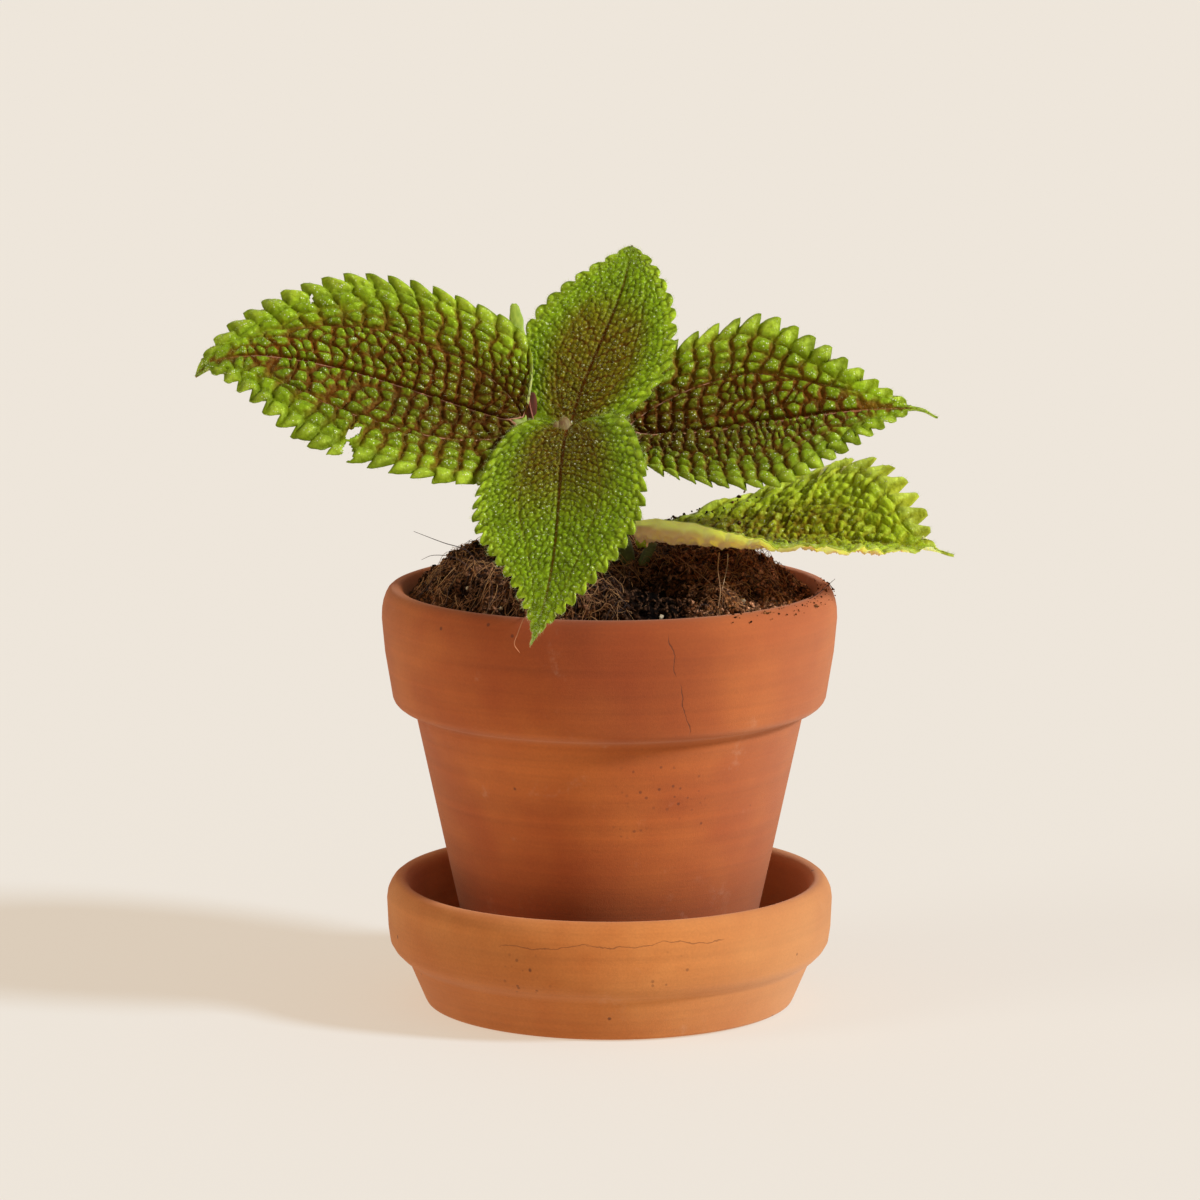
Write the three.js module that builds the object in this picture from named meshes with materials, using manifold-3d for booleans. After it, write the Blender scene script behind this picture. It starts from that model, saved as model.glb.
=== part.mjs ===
// Friendship plant in a clay pot on a saucer.
// Millimetres, +Z up. The origin is the middle of the saucer's underside, and -Y is the front.

import * as THREE from 'three';
import { mergeVertices } from 'three/addons/utils/BufferGeometryUtils.js';
import Module from 'manifold-3d';

const wasm = await Module();
wasm.setup();

// ---------- driving dimensions ----------

const clearance = 0.3;          // air left between pieces that touch
const roundSteps = 44;          // sides of the turned clay pieces

const saucer = {
  height: 29.7,
  baseRadius: 44.2,
  creaseRadius: 48.2,           // where the foot meets the band
  creaseHeight: 10.5,
  bandRadius: 53.2,
  floor: 5.4,
};

const pot = {
  seat: saucer.floor + clearance,
  baseRadius: 32.4,
  creaseRadius: 46.2,           // where the body meets the rim band
  creaseHeight: 70.3,
  bandRadius: 54,
  rimHeight: 100.1,
  mouthRadius: 48.2,
  wall: 5,
  floor: 6,
  drainRadius: 6,
};

const soil = {
  top: 105.9,                   // the mound stands proud of the rim
  tilt: 0.07,                   // and rises a little towards the back
  edge: 97.6,
  plateau: 39,
  rings: 11,
  sectors: 40,
  lump: 1.2,
};

const stem = {
  baseRadius: 2.2,
  tipRadius: 1.6,
  path: [
    [5.5, 3, 78],
    [4.2, -0.8, 104],
    [2.6, -3.6, 112],
    [-1.2, -8.4, 121.5],
    [-6, -13.4, 130.5],
    [-9.4, -16.4, 137.2],
  ],
  sides: 9,
};

const blade = {
  thickness: 0.9,
  ribRelief: 0.55,              // height of the quilting between the side veins
  veinGroove: 0.9,              // depth of the grooves over the main veins
  firstRow: 0.01,
  minHalf: 0.4,
};

// Each leaf: midrib from base to tip, bent by rise1 and rise2, its face turned
// from face1 to face2. Widths, lobes, folds, how square the base is and the curl
// of its margin are given for both halves.
const leaves = {
  leaf_left: {
    base: [-23.4, -14, 141.3], tip: [-96.6, -14.1, 152.9],
    rise1: [5.8, -2.6, 1.1], rise2: [-8.8, 0, 15.5],
    face1: [0, -0.82, 0.58], face2: [0, -0.64, 0.77],
    width: [26.2, 27.4], widest: 0.39, square: [2.6, 3], full: 1.42, taper: 1.2,
    lobe: [5.9, 7.3], lobeShape: 1.4, sweep: 7, fold1: [11, 10.5], fold2: [3, -1.3],
    curl: [0.5, 1.5], teeth: 18, toothDepth: 2, steps: 8,
  },
  leaf_right: {
    base: [5.7, -14, 138.2], tip: [77, -11.1, 143.1],
    rise1: [1.2, 2, -2.2], rise2: [-1.8, -6, 5.2],
    face1: [0, -0.7, 0.71], face2: [0, -0.75, 0.66],
    width: [27, 25.3], widest: 0.37, square: [1.7, 1.8], full: 1.35, taper: 1.7,
    lobe: [3.4, 4.2], lobeShape: 1.4, sweep: 5.1, fold1: [15.3, 18.5], fold2: [14.1, 15],
    curl: [0.5, 0.5], teeth: 18, toothDepth: 2, steps: 8,
  },
  leaf_back: {
    base: [-8.8, -13.2, 141.2], tip: [4.9, 12.8, 179.4],
    rise1: [-1.1, -0.1, 0.5], rise2: [4.2, 1.4, 0.8],
    face1: [-0.14, -0.79, 0.6], face2: [-0.08, -0.81, 0.58],
    width: [16.8, 18.7], widest: 0.33, square: [1.7, 1.8], full: 1.53, taper: 0.9,
    lobe: [2.5, 2.7], lobeShape: 1.4, sweep: 2.5, fold1: [3.3, 7.2], fold2: [3.5, 4.7],
    curl: [0.5, 0.5], teeth: 17, toothDepth: 0.9, steps: 6,
  },
  leaf_front: {
    base: [-9.9, -21, 139.9], tip: [-17.9, -59.4, 95.9],
    rise1: [-0.2, -4.3, 5.5], rise2: [5.1, -6.9, 4],
    face1: [-0.22, -0.7, 0.68], face2: [-0.19, -0.72, 0.67],
    width: [21.3, 19.9], widest: 0.35, square: [1.9, 1.9], full: 1.49, taper: 1.53,
    lobe: [5.6, 5.9], lobeShape: 1.4, sweep: 5.8, fold1: [7.6, 5.5], fold2: [3.3, 2.4],
    curl: [0.3, 0.3], teeth: 19, toothDepth: 1.6, steps: 6,
  },
  leaf_lower: {
    base: [9.4, -4, 112.2], tip: [81.3, -9, 108.6],
    rise1: [2, 2.5, -1.4], rise2: [-1, -1, 5.4],
    face1: [0, 0.03, 1], face2: [0, -0.2, 0.98],
    width: [25.5, 25], widest: 0.46, square: [2, 2.6], full: 3, taper: 3.5,
    lobe: [1, 9], lobeShape: 0.6, sweep: 8.5, fold1: [9, 21], fold2: [48, 9],
    curl: [0, -2.6], teeth: 17, toothDepth: 2.2, steps: 6,
  },
};

// ---------- small helpers ----------

const vector = (p) => new THREE.Vector3(p[0], p[1], p[2]);

function mix(a, b, t) {
  return a + (b - a) * t;
}

function smooth(from, to, x) {
  const t = Math.min(Math.max((x - from) / (to - from), 0), 1);
  return t * t * (3 - 2 * t);
}

// a steady scatter between -1 and 1 for a pair of numbers
function scatter(i, j) {
  const s = Math.sin(i * 127.1 + j * 311.7) * 43758.5453;
  return 2 * (s - Math.floor(s)) - 1;
}

function closedMesh(points, faces) {
  const geometry = new THREE.BufferGeometry();
  geometry.setAttribute('position', new THREE.Float32BufferAttribute(points, 3));
  geometry.setIndex(faces);
  return geometry;
}

function toSolid(geometry) {
  const bare = geometry.clone();
  bare.deleteAttribute('normal');
  bare.deleteAttribute('uv');
  const merged = mergeVertices(bare, 1e-4);
  const solidMesh = new wasm.Mesh({
    numProp: 3,
    vertProperties: new Float32Array(merged.attributes.position.array),
    triVerts: new Uint32Array(merged.index.array),
  });
  return new wasm.Manifold(solidMesh);
}

function fromSolid(solid) {
  const mesh = solid.getMesh();
  return closedMesh(Array.from(mesh.vertProperties), Array.from(mesh.triVerts));
}

function named(name, geometry, color, roughness) {
  const material = new THREE.MeshStandardMaterial({ color, roughness, metalness: 0 });
  const mesh = new THREE.Mesh(geometry, material);
  mesh.name = name;
  return mesh;
}

// A profile in radius and height, turned about the Z axis. It runs up the
// outside and down the inside, so that the faces point out.
function turned(profile, sides) {
  const outline = profile.map(([r, z]) => new THREE.Vector2(r, z));
  const geometry = new THREE.LatheGeometry(outline, sides);
  geometry.rotateX(Math.PI / 2);
  return geometry;
}

// ---------- clay pieces ----------

function saucerGeometry() {
  const s = saucer;
  const rim = s.bandRadius;
  return turned([
    [0, 0],
    [s.baseRadius, 0],
    [s.creaseRadius, s.creaseHeight],
    [rim - 3.2, 11.5],
    [rim - 1.8, 12.9],
    [rim - 0.8, 14.6],
    [rim - 0.3, 18],
    [rim, 24.8],
    [rim - 0.8, 27.9],
    [rim - 2.4, s.height],
    [rim - 4.4, s.height - 0.4],
    [rim - 5.6, s.height - 2.3],
    [rim - 6.6, 20],
    [rim - 8.6, 10],
    [rim - 11.5, s.floor + 0.6],
    [rim - 15, s.floor],
    [0, s.floor],
  ], roundSteps);
}

function potGeometry() {
  const p = pot;
  const rim = p.bandRadius;
  const inner = p.baseRadius - p.wall;
  return turned([
    [p.drainRadius, p.seat],
    [p.baseRadius - 1, p.seat],
    [p.baseRadius, p.seat + 1],
    [39.3, 38.2],
    [p.creaseRadius, p.creaseHeight],
    [48.6, 71.2],
    [50.5, 72.2],
    [51.5, 73.8],
    [52.1, 77.5],
    [rim - 0.7, 84.8],
    [rim, 92.5],
    [rim - 0.4, 96.6],
    [rim - 1.5, 99.2],
    [rim - 3, p.rimHeight],
    [rim - 4.6, p.rimHeight - 0.4],
    [p.mouthRadius + 0.5, p.rimHeight - 1.9],
    [p.mouthRadius, p.rimHeight - 4],
    [p.mouthRadius - 2.2, 74],
    [40.8, 66],
    [inner + 1.2, p.seat + p.floor + 3],
    [inner - 1.5, p.seat + p.floor],
    [p.drainRadius, p.seat + p.floor],
    [p.drainRadius, p.seat],
  ], roundSteps);
}

// ---------- soil ----------

// radius of the soil at a height: the pot's inner wall less the clearance
function soilRadius(z) {
  const inside = [
    [pot.seat + pot.floor + clearance, 25.9],
    [pot.seat + pot.floor + 3, pot.baseRadius - pot.wall + 1.2],
    [66, 40.8],
    [74, pot.mouthRadius - 2.2],
    [soil.edge, pot.mouthRadius],
  ];
  for (let i = 1; i < inside.length; i += 1) {
    const [z0, r0] = inside[i - 1];
    const [z1, r1] = inside[i];
    if (z <= z1) {
      return mix(r0, r1, (z - z0) / (z1 - z0)) - 2 * clearance;
    }
  }
  return pot.mouthRadius - 2 * clearance;
}

function moundHeight(r, angle, ring, sector) {
  const edge = soilRadius(soil.edge);
  const fall = smooth(soil.plateau - 1.5 * Math.cos(angle), edge, r);
  const slow = 0.7 * Math.sin(2 * angle + 0.6) + 0.6 * Math.sin(3 * angle + 2) - 1.2 * Math.cos(angle);
  const lump = soil.lump * scatter(ring, sector);
  const rough = (slow * Math.min(r / 20, 1) + lump) * (1 - 0.7 * fall);
  const tilt = soil.tilt * r * Math.sin(angle) * (1 - fall);
  return mix(soil.top, soil.edge, fall) + tilt + rough;
}

function soilGeometry() {
  const points = [0, 0, soil.top];
  const faces = [];
  const count = soil.sectors;
  const edge = soilRadius(soil.edge);
  const walls = [88, 74, 66, pot.seat + pot.floor + 3, pot.seat + pot.floor + clearance];
  for (let ring = 1; ring <= soil.rings; ring += 1) {
    const r = edge * (ring / soil.rings) ** 0.8;
    for (let k = 0; k < count; k += 1) {
      const angle = (2 * Math.PI * (k + 0.5 * (ring % 2))) / count;
      const z = ring === soil.rings ? soil.edge : moundHeight(r, angle, ring, k);
      points.push(r * Math.cos(angle), r * Math.sin(angle), z);
    }
  }
  const turnLast = 0.5 * (soil.rings % 2);
  for (const z of walls) {
    const r = soilRadius(z);
    for (let k = 0; k < count; k += 1) {
      const angle = (2 * Math.PI * (k + turnLast)) / count;
      points.push(r * Math.cos(angle), r * Math.sin(angle), z);
    }
  }
  const rows = soil.rings + walls.length;
  const at = (row, k) => 1 + row * count + ((k + count) % count);
  for (let k = 0; k < count; k += 1) {
    faces.push(0, at(0, k), at(0, k + 1));
  }
  for (let row = 0; row < rows - 1; row += 1) {
    // rings on the mound are turned half a step against each other
    const turnedRow = row < soil.rings - 1;
    const lead = turnedRow && (row + 1) % 2 === 1;
    for (let k = 0; k < count; k += 1) {
      const a = at(row, k);
      const b = at(row, k + 1);
      const c = at(row + 1, k);
      const d = at(row + 1, k + 1);
      if (lead) {
        faces.push(a, d, b, a, c, d);
      } else {
        faces.push(a, c, b, b, c, d);
      }
    }
  }
  const middle = points.length / 3;
  points.push(0, 0, walls[walls.length - 1]);
  for (let k = 0; k < count; k += 1) {
    faces.push(middle, at(rows - 1, k + 1), at(rows - 1, k));
  }
  return closedMesh(points, faces);
}

// ---------- stem and leaf stalks ----------

// A turned spindle laid along a curve: its height becomes the way along.
function stalk(curve, radiusAt, sides, steps) {
  const profile = [[0, 0]];
  for (let i = 0; i <= steps; i += 1) {
    profile.push([radiusAt(i / steps), i / steps]);
  }
  profile.push([0, 1]);
  const geometry = turned(profile, sides);
  const frames = curve.computeFrenetFrames(steps, false);
  const place = geometry.attributes.position;
  for (let i = 0; i < place.count; i += 1) {
    const along = place.getZ(i);
    const step = Math.round(along * steps);
    const point = curve.getPointAt(Math.min(Math.max(along, 0), 1));
    point.addScaledVector(frames.normals[step], place.getX(i));
    point.addScaledVector(frames.binormals[step], place.getY(i));
    place.setXYZ(i, point.x, point.y, point.z);
  }
  return geometry;
}

function stemCurve() {
  return new THREE.CatmullRomCurve3(stem.path.map(vector));
}

function stemRadius(along) {
  return mix(stem.baseRadius, stem.tipRadius, along);
}

// leaf stalks: where on the stem each starts, and how far it runs out straight
const stalks = [
  { leaf: 'leaf_left', from: [-5.4, -12.9, 129.4], reach: 6.5, radius: [1.5, 1.15] },
  { leaf: 'leaf_right', from: [-5.4, -12.9, 129.4], reach: 4.5, radius: [1.5, 1.15] },
  { leaf: 'leaf_back', from: [-9.1, -16.2, 136.6], reach: 1.6, radius: [1.2, 0.95] },
  { leaf: 'leaf_front', from: [-9.1, -16.2, 136.6], reach: 1.8, radius: [1.2, 1] },
];

// the lower leaf's stalk leaves the stem inside the soil and meets the midrib
// from below
const lowerStalk = {
  path: [[4.9, 0.6, 96], [6.9, -1.6, 101], [7.7, -2.8, 105], [10.2, -3.8, 110.8]],
  radius: [1.5, 1.2],
};

function midrib(leaf) {
  const base = vector(leaf.base);
  const tip = vector(leaf.tip);
  const first = base.clone().lerp(tip, 1 / 3).add(vector(leaf.rise1));
  const second = base.clone().lerp(tip, 2 / 3).add(vector(leaf.rise2));
  return [base, first, second, tip];
}

function stalkCurve(item) {
  const leaf = leaves[item.leaf];
  const [base, first] = midrib(leaf);
  const way = first.clone().sub(base).normalize();
  const face = vector(leaf.face1).normalize();
  const end = base.clone().addScaledVector(way, -0.15).addScaledVector(face, -0.45);
  const lead = end.clone().addScaledVector(way, -item.reach);
  return new THREE.CubicBezierCurve3(vector(item.from), lead.clone(), lead, end);
}

function lowerStalkGeometry(extra, sides) {
  const curve = new THREE.CatmullRomCurve3(lowerStalk.path.map(vector));
  const radiusAt = (t) => mix(lowerStalk.radius[0], lowerStalk.radius[1], t) + extra;
  return stalk(curve, radiusAt, sides, 8);
}

function stemGeometry() {
  let whole = toSolid(stalk(stemCurve(), stemRadius, stem.sides, 16));
  whole = whole.add(toSolid(lowerStalkGeometry(0, 8)));
  for (const item of stalks) {
    const radiusAt = (t) => mix(item.radius[0], item.radius[1], t);
    whole = whole.add(toSolid(stalk(stalkCurve(item), radiusAt, 8, 7)));
  }
  // the pair of small scales folded over the growing tip
  const bud = new THREE.LineCurve3(vector([-9.4, -16.4, 136.4]), vector([-10.1, -17.2, 142.4]));
  const budRadius = (t) => 0.35 + 1.75 * Math.sin(Math.PI * (0.25 + 0.72 * t)) ** 1.2;
  whole = whole.add(toSolid(stalk(bud, budRadius, 8, 6)));
  return fromSolid(whole);
}

// ---------- leaves ----------

// half width of the blade along its length, 0 to 1: a rounded quarter up to
// the widest place, then a fall to the drawn-out tip
function outline(leaf, u, side = 0) {
  if (u < leaf.widest) {
    const square = leaf.square[side];
    return (1 - ((leaf.widest - u) / leaf.widest) ** square) ** (1 / square);
  }
  const t = (u - leaf.widest) / (1 - leaf.widest);
  return (1 - t ** leaf.full) ** leaf.taper;
}

function bezier(p, t) {
  const s = 1 - t;
  const point = p[0].clone().multiplyScalar(s ** 3);
  point.addScaledVector(p[1], 3 * s * s * t);
  point.addScaledVector(p[2], 3 * s * t * t);
  point.addScaledVector(p[3], t ** 3);
  return point;
}

function bezierWay(p, t) {
  const s = 1 - t;
  const way = p[1].clone().sub(p[0]).multiplyScalar(s * s);
  way.addScaledVector(p[2].clone().sub(p[1]), 2 * s * t);
  way.addScaledVector(p[3].clone().sub(p[2]), t * t);
  return way.normalize();
}

// A point of the blade at u along and v across (-1 to 1), cut in from the
// outline by cut and raised off the blade by lift.
function bladePoint(leaf, rib, length, u, v, cut, lift) {
  const a = Math.abs(v);
  const side = v < 0 ? 0 : 1;
  const half = Math.max(leaf.width[side] * outline(leaf, u, side) - cut, blade.minHalf);
  const x = u / 0.07;
  const back = leaf.lobe[side] * x * Math.exp(1 - x) * a ** leaf.lobeShape;
  const ahead = leaf.sweep * smooth(0.05, 0.45, u) * Math.min((1 - u) / 0.55, 1) * a ** 1.3;
  const t = u + (ahead - back) / length;
  const way = bezierWay(rib, t);
  const held = Math.min(Math.max(t, 0), 1);
  const face = vector(leaf.face1).normalize().lerp(vector(leaf.face2).normalize(), held);
  const across = way.clone().cross(face).normalize();
  const up = across.clone().cross(way);
  const fold = THREE.MathUtils.degToRad(mix(leaf.fold1[side], leaf.fold2[side], held));
  const curl = leaf.curl[side] * (1 - smooth(0.01, 0.07, u)) * smooth(0.05, 0.5, a);
  const sign = v < 0 ? -1 : 1;
  const point = bezier(rib, t);
  point.addScaledVector(across, v * half * Math.cos(fold));
  point.addScaledVector(up, a * half * Math.sin(fold));
  point.addScaledVector(up, (lift + curl) * Math.cos(fold));
  point.addScaledVector(across, -sign * (lift + curl) * Math.sin(fold));
  return point;
}

// rows follow the side veins: a notch and groove at every whole number, the
// tooth and the swelling of the quilting in between
function rowPlaces(leaf) {
  const places = [{ u: blade.firstRow, crest: 0, notch: 0 }];
  for (let k = 1; k <= leaf.teeth; k += 1) {
    places.push({ u: ((k - 0.42) / leaf.teeth) ** (1 / 1.12), crest: 1, notch: 0 });
    const end = k === leaf.teeth;
    const u = end ? 0.996 : (k / leaf.teeth) ** (1 / 1.12);
    places.push({ u, crest: 0, notch: end ? 0 : 1 });
  }
  return places;
}

function reliefAt(leaf, place, j) {
  const step = Math.abs(j);
  const flat = Math.min(1, outline(leaf, place.u) * 1.6) * smooth(0, 0.08, place.u);
  let height = blade.ribRelief * (place.crest - 0.5);
  if (step % 2 === 1) {
    height += 0.5 * blade.ribRelief;
  }
  if (step === 0) {
    height = -blade.veinGroove;
  } else if (step === leaf.steps / 2) {
    height -= 0.5 * blade.veinGroove;
  }
  if (step === leaf.steps) {
    height = 0.2 * blade.ribRelief * (place.crest - 0.5);
  }
  return height * flat;
}

function bladeGeometry(leaf) {
  const rib = midrib(leaf);
  const length = rib[0].distanceTo(rib[3]);
  const places = rowPlaces(leaf);
  const across = 2 * leaf.steps + 1;
  const top = [];
  const bottom = [];
  for (const place of places) {
    const wide = outline(leaf, place.u);
    const bite = leaf.toothDepth * smooth(0.1, 0.2, place.u) * Math.min(1, wide * 3);
    const cut = place.notch * bite;
    for (let j = -leaf.steps; j <= leaf.steps; j += 1) {
      const v = j / leaf.steps;
      const lift = reliefAt(leaf, place, j);
      const outer = Math.abs(v) ** 4 * cut;
      const high = bladePoint(leaf, rib, length, place.u, v, outer, lift);
      const low = bladePoint(leaf, rib, length, place.u, v, outer, lift - blade.thickness);
      top.push(high.x, high.y, high.z);
      bottom.push(low.x, low.y, low.z);
    }
  }
  const layer = top.length / 3;
  const faces = [];
  const at = (i, j) => i * across + j;
  const rows = places.length;
  for (let i = 0; i < rows - 1; i += 1) {
    for (let j = 0; j < across - 1; j += 1) {
      const a = at(i, j);
      const b = at(i, j + 1);
      const c = at(i + 1, j + 1);
      const d = at(i + 1, j);
      // the same diagonal on both faces keeps them from crossing
      faces.push(a, b, c, a, c, d);
      faces.push(layer + a, layer + c, layer + b, layer + a, layer + d, layer + c);
    }
  }
  const rimLoop = [];
  for (let j = 0; j < across - 1; j += 1) {
    rimLoop.push(at(0, j));
  }
  for (let i = 0; i < rows - 1; i += 1) {
    rimLoop.push(at(i, across - 1));
  }
  for (let j = across - 1; j > 0; j -= 1) {
    rimLoop.push(at(rows - 1, j));
  }
  for (let i = rows - 1; i > 0; i -= 1) {
    rimLoop.push(at(i, 0));
  }
  for (let k = 0; k < rimLoop.length; k += 1) {
    const a = rimLoop[k];
    const b = rimLoop[(k + 1) % rimLoop.length];
    faces.push(a, layer + b, b, a, layer + a, layer + b);
  }
  return closedMesh([...top, ...bottom], faces);
}

// ---------- assembly ----------

const plant = new THREE.Group();

// plain holes in the soil for the stem and the stalk beside it
const stemHole = toSolid(stalk(stemCurve(), (t) => stemRadius(t) + clearance + 0.1, 12, 16));
const stalkHole = toSolid(lowerStalkGeometry(clearance + 0.1, 10));
const filled = toSolid(soilGeometry()).subtract(stemHole).subtract(stalkHole);

plant.add(named('saucer', saucerGeometry(), 0xc47a4a, 0.85));
plant.add(named('pot', potGeometry(), 0xb5623a, 0.85));
plant.add(named('soil', fromSolid(filled), 0x33211a, 0.95));
plant.add(named('stem', stemGeometry(), 0x6d7a35, 0.6));
for (const [name, leaf] of Object.entries(leaves)) {
  plant.add(named(name, bladeGeometry(leaf), 0x4f7d24, 0.5));
}

export default plant;
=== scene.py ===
import math

import bpy
import numpy as np
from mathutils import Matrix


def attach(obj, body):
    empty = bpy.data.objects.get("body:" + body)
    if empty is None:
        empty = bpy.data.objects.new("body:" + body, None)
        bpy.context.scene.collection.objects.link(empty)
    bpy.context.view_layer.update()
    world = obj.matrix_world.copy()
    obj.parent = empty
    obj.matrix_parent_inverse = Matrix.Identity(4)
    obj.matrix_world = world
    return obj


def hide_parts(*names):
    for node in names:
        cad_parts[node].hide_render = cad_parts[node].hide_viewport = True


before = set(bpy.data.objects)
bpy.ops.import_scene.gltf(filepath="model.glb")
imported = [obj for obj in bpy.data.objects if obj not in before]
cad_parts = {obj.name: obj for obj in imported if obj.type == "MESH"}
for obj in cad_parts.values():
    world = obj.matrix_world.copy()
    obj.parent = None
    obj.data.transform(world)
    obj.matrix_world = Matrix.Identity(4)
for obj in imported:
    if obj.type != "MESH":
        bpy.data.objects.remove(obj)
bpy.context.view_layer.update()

mm = 0.001


def linear(hexColour):
    # sRGB hex to the linear colour that a shader wants
    parts = [int(hexColour[i:i + 2], 16) / 255 for i in (1, 3, 5)]
    return [p / 12.92 if p <= 0.04045 else ((p + 0.055) / 1.055) ** 2.4 for p in parts] + [1.0]


def setInputs(tree, node, inputs):
    # links or fills inputs: a node stands for its first output in use, a hex string for its colour
    for key, value in inputs.items():
        if isinstance(value, bpy.types.Node):
            value = next(socket for socket in value.outputs if socket.enabled)
        if isinstance(value, bpy.types.NodeSocket):
            tree.links.new(value, node.inputs[key])
        else:
            node.inputs[key].default_value = linear(value) if isinstance(value, str) else value


def addNode(tree, kind, inputs, **settings):
    node = tree.nodes.new("ShaderNode" + kind)
    for key, value in settings.items():
        setattr(node, key, value)
    setInputs(tree, node, inputs)
    return node


def startMaterial(name):
    material = bpy.data.materials.new(name)
    material.use_nodes = True
    return material, material.node_tree, material.node_tree.nodes["Principled BSDF"]


def clearSelection():
    if bpy.context.object and bpy.context.object.mode != "OBJECT":
        bpy.ops.object.mode_set(mode="OBJECT")
    bpy.ops.object.select_all(action="DESELECT")


def addShape(operator, name, **settings):
    # a new piece from one of the mesh operators
    clearSelection()
    operator(**settings)
    bpy.context.object.name = name
    return bpy.context.object


def applyModifier(piece, kind, **settings):
    modifier = piece.modifiers.new(kind, kind)
    for key, value in settings.items():
        setattr(modifier, key, value)
    bpy.ops.object.modifier_apply(modifier=modifier.name)


def hashed(i, j=0, k=0):
    # a steady random number from 0 to 1 for each set of whole numbers
    s = np.sin(np.asarray(i) * 127.1 + np.asarray(j) * 311.7 + np.asarray(k) * 74.7) * 43758.5453
    return s - np.floor(s)


def threeHashed(n, seed):
    # three of them for each n
    return np.stack([hashed(n, seed), hashed(n, seed + 1), hashed(n, seed + 2)], 1)


def smooth(low, high, x):
    t = np.clip((x - low) / (high - low), 0, 1)
    return t * t * (3 - 2 * t)


def mix(a, b, t):
    return a + (b - a) * t


def valueNoise(x, y, z, seed):
    # lattice noise from -1 to 1, one lump for each unit
    corner = [np.floor(c) for c in (x, y, z)]
    part = [c - f for c, f in zip((x, y, z), corner)]
    part = [p * p * (3 - 2 * p) for p in part]
    total = 0
    for dx in (0, 1):
        for dy in (0, 1):
            for dz in (0, 1):
                here = hashed(corner[0] + dx + seed * 17.0, corner[1] + dy, corner[2] + dz)
                weight = (part[0] if dx else 1 - part[0]) * (part[1] if dy else 1 - part[1])
                total = total + here * weight * (part[2] if dz else 1 - part[2])
    return 2 * total - 1


def unit(v):
    return v / np.linalg.norm(v, axis=-1, keepdims=True)


def catmullRom(points, steps):
    # a smooth line through the points, evenly sampled between each pair
    p = np.array(points, float)
    p = np.vstack([2 * p[0] - p[1], p, 2 * p[-1] - p[-2]])
    line = []
    for i in range(1, len(p) - 2):
        for t in np.linspace(0, 1, steps, endpoint=False):
            a = 2 * p[i]
            b = (p[i + 1] - p[i - 1]) * t
            c = (2 * p[i - 1] - 5 * p[i] + 4 * p[i + 1] - p[i + 2]) * t * t
            d = (3 * p[i] - p[i - 1] - 3 * p[i + 1] + p[i + 2]) * t ** 3
            line.append((a + b + c + d) / 2)
    line.append(p[-2])
    return np.array(line)


def tubeAlong(line, radii, sides):
    # rings of points round a line, in a frame carried along it, with a point at each end
    way = unit(np.gradient(line, axis=0))
    start = np.cross(way[0], [0.31, 0.17, 0.93])
    normals = [start / np.linalg.norm(start)]
    for w in way[1:]:
        n = normals[-1] - w * np.dot(normals[-1], w)
        normals.append(n / np.linalg.norm(n))
    normals = np.array(normals)
    binormals = np.cross(way, normals)
    turn = np.arange(sides)[:, None] * 2 * np.pi / sides
    radii = np.asarray(radii, float).reshape(-1, 1, 1)
    spokes = normals[:, None] * np.cos(turn) + binormals[:, None] * np.sin(turn)
    rings = (line[:, None] + spokes * radii).reshape(-1, 3)
    verts = np.vstack([rings, line[:1], line[-1:]])
    faces = []
    for i in range(len(line) - 1):
        for k in range(sides):
            a = i * sides + k
            b = i * sides + (k + 1) % sides
            faces.append((a, b, b + sides, a + sides))
    first, last, end = len(rings), len(rings) + 1, (len(line) - 1) * sides
    for k in range(sides):
        faces.append((first, (k + 1) % sides, k))
        faces.append((last, end + k, end + (k + 1) % sides))
    return verts, faces


def vectorsOf(items, field):
    # one row of three numbers for each vertex or face
    values = np.empty(len(items) * 3, np.float32)
    items.foreach_get(field, values)
    return values.reshape(-1, 3)


def moveVerts(mesh, spots):
    # puts the vertices at the places given in millimetres
    mesh.vertices.foreach_set("co", (spots * mm).astype(np.float32).ravel())
    mesh.update()


def addLayer(mesh, name, parts):
    # a colour layer of four numbers for each vertex
    layer = mesh.color_attributes.new(name, "FLOAT_COLOR", "POINT")
    layer.data.foreach_set("color", np.stack(parts, 1).astype(np.float32).ravel())


def editAll():
    bpy.ops.object.mode_set(mode="EDIT")
    bpy.ops.mesh.select_all(action="SELECT")


def meshPiece(name, verts, faces):
    mesh = bpy.data.meshes.new(name)
    mesh.from_pydata((verts * mm).tolist(), [], faces)
    piece = bpy.data.objects.new(name, mesh)
    bpy.context.collection.objects.link(piece)
    return piece


def joinedTubes(name, tubes):
    # one mesh from many tubes, given in millimetres
    verts, faces, count = [], [], 0
    for tubeVerts, tubeFaces in tubes:
        verts.append(tubeVerts)
        faces += [tuple(i + count for i in face) for face in tubeFaces]
        count += len(tubeVerts)
    piece = meshPiece(name, np.vstack(verts), faces)
    piece.data.shade_smooth()
    return piece


def copiesOf(model, name, places, axes, sizes):
    # copies of a small model, each at its place, turned to its own axes and sized, as one mesh
    co = vectorsOf(model.data.vertices, "co")
    turned = np.einsum("nij,vi->nvj", axes * sizes[:, :, None], co)
    loops = [list(p.vertices) for p in model.data.polygons]
    faces = [[i + n * len(co) for i in loop] for n in range(len(places)) for loop in loops]
    bpy.data.objects.remove(model)
    return meshPiece(name, (turned + places[:, None]).reshape(-1, 3), faces)


def axesAlong(ways, seed):
    # a turned set of axes for each way, the third one along it
    ways = unit(ways)
    spin = hashed(np.arange(len(ways)), seed) * 2 * np.pi
    helper = np.stack([np.cos(spin), np.sin(spin), 0.37 + 0 * spin], 1)
    first = unit(np.cross(ways, helper))
    return np.stack([first, np.cross(ways, first), ways], 1)


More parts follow.
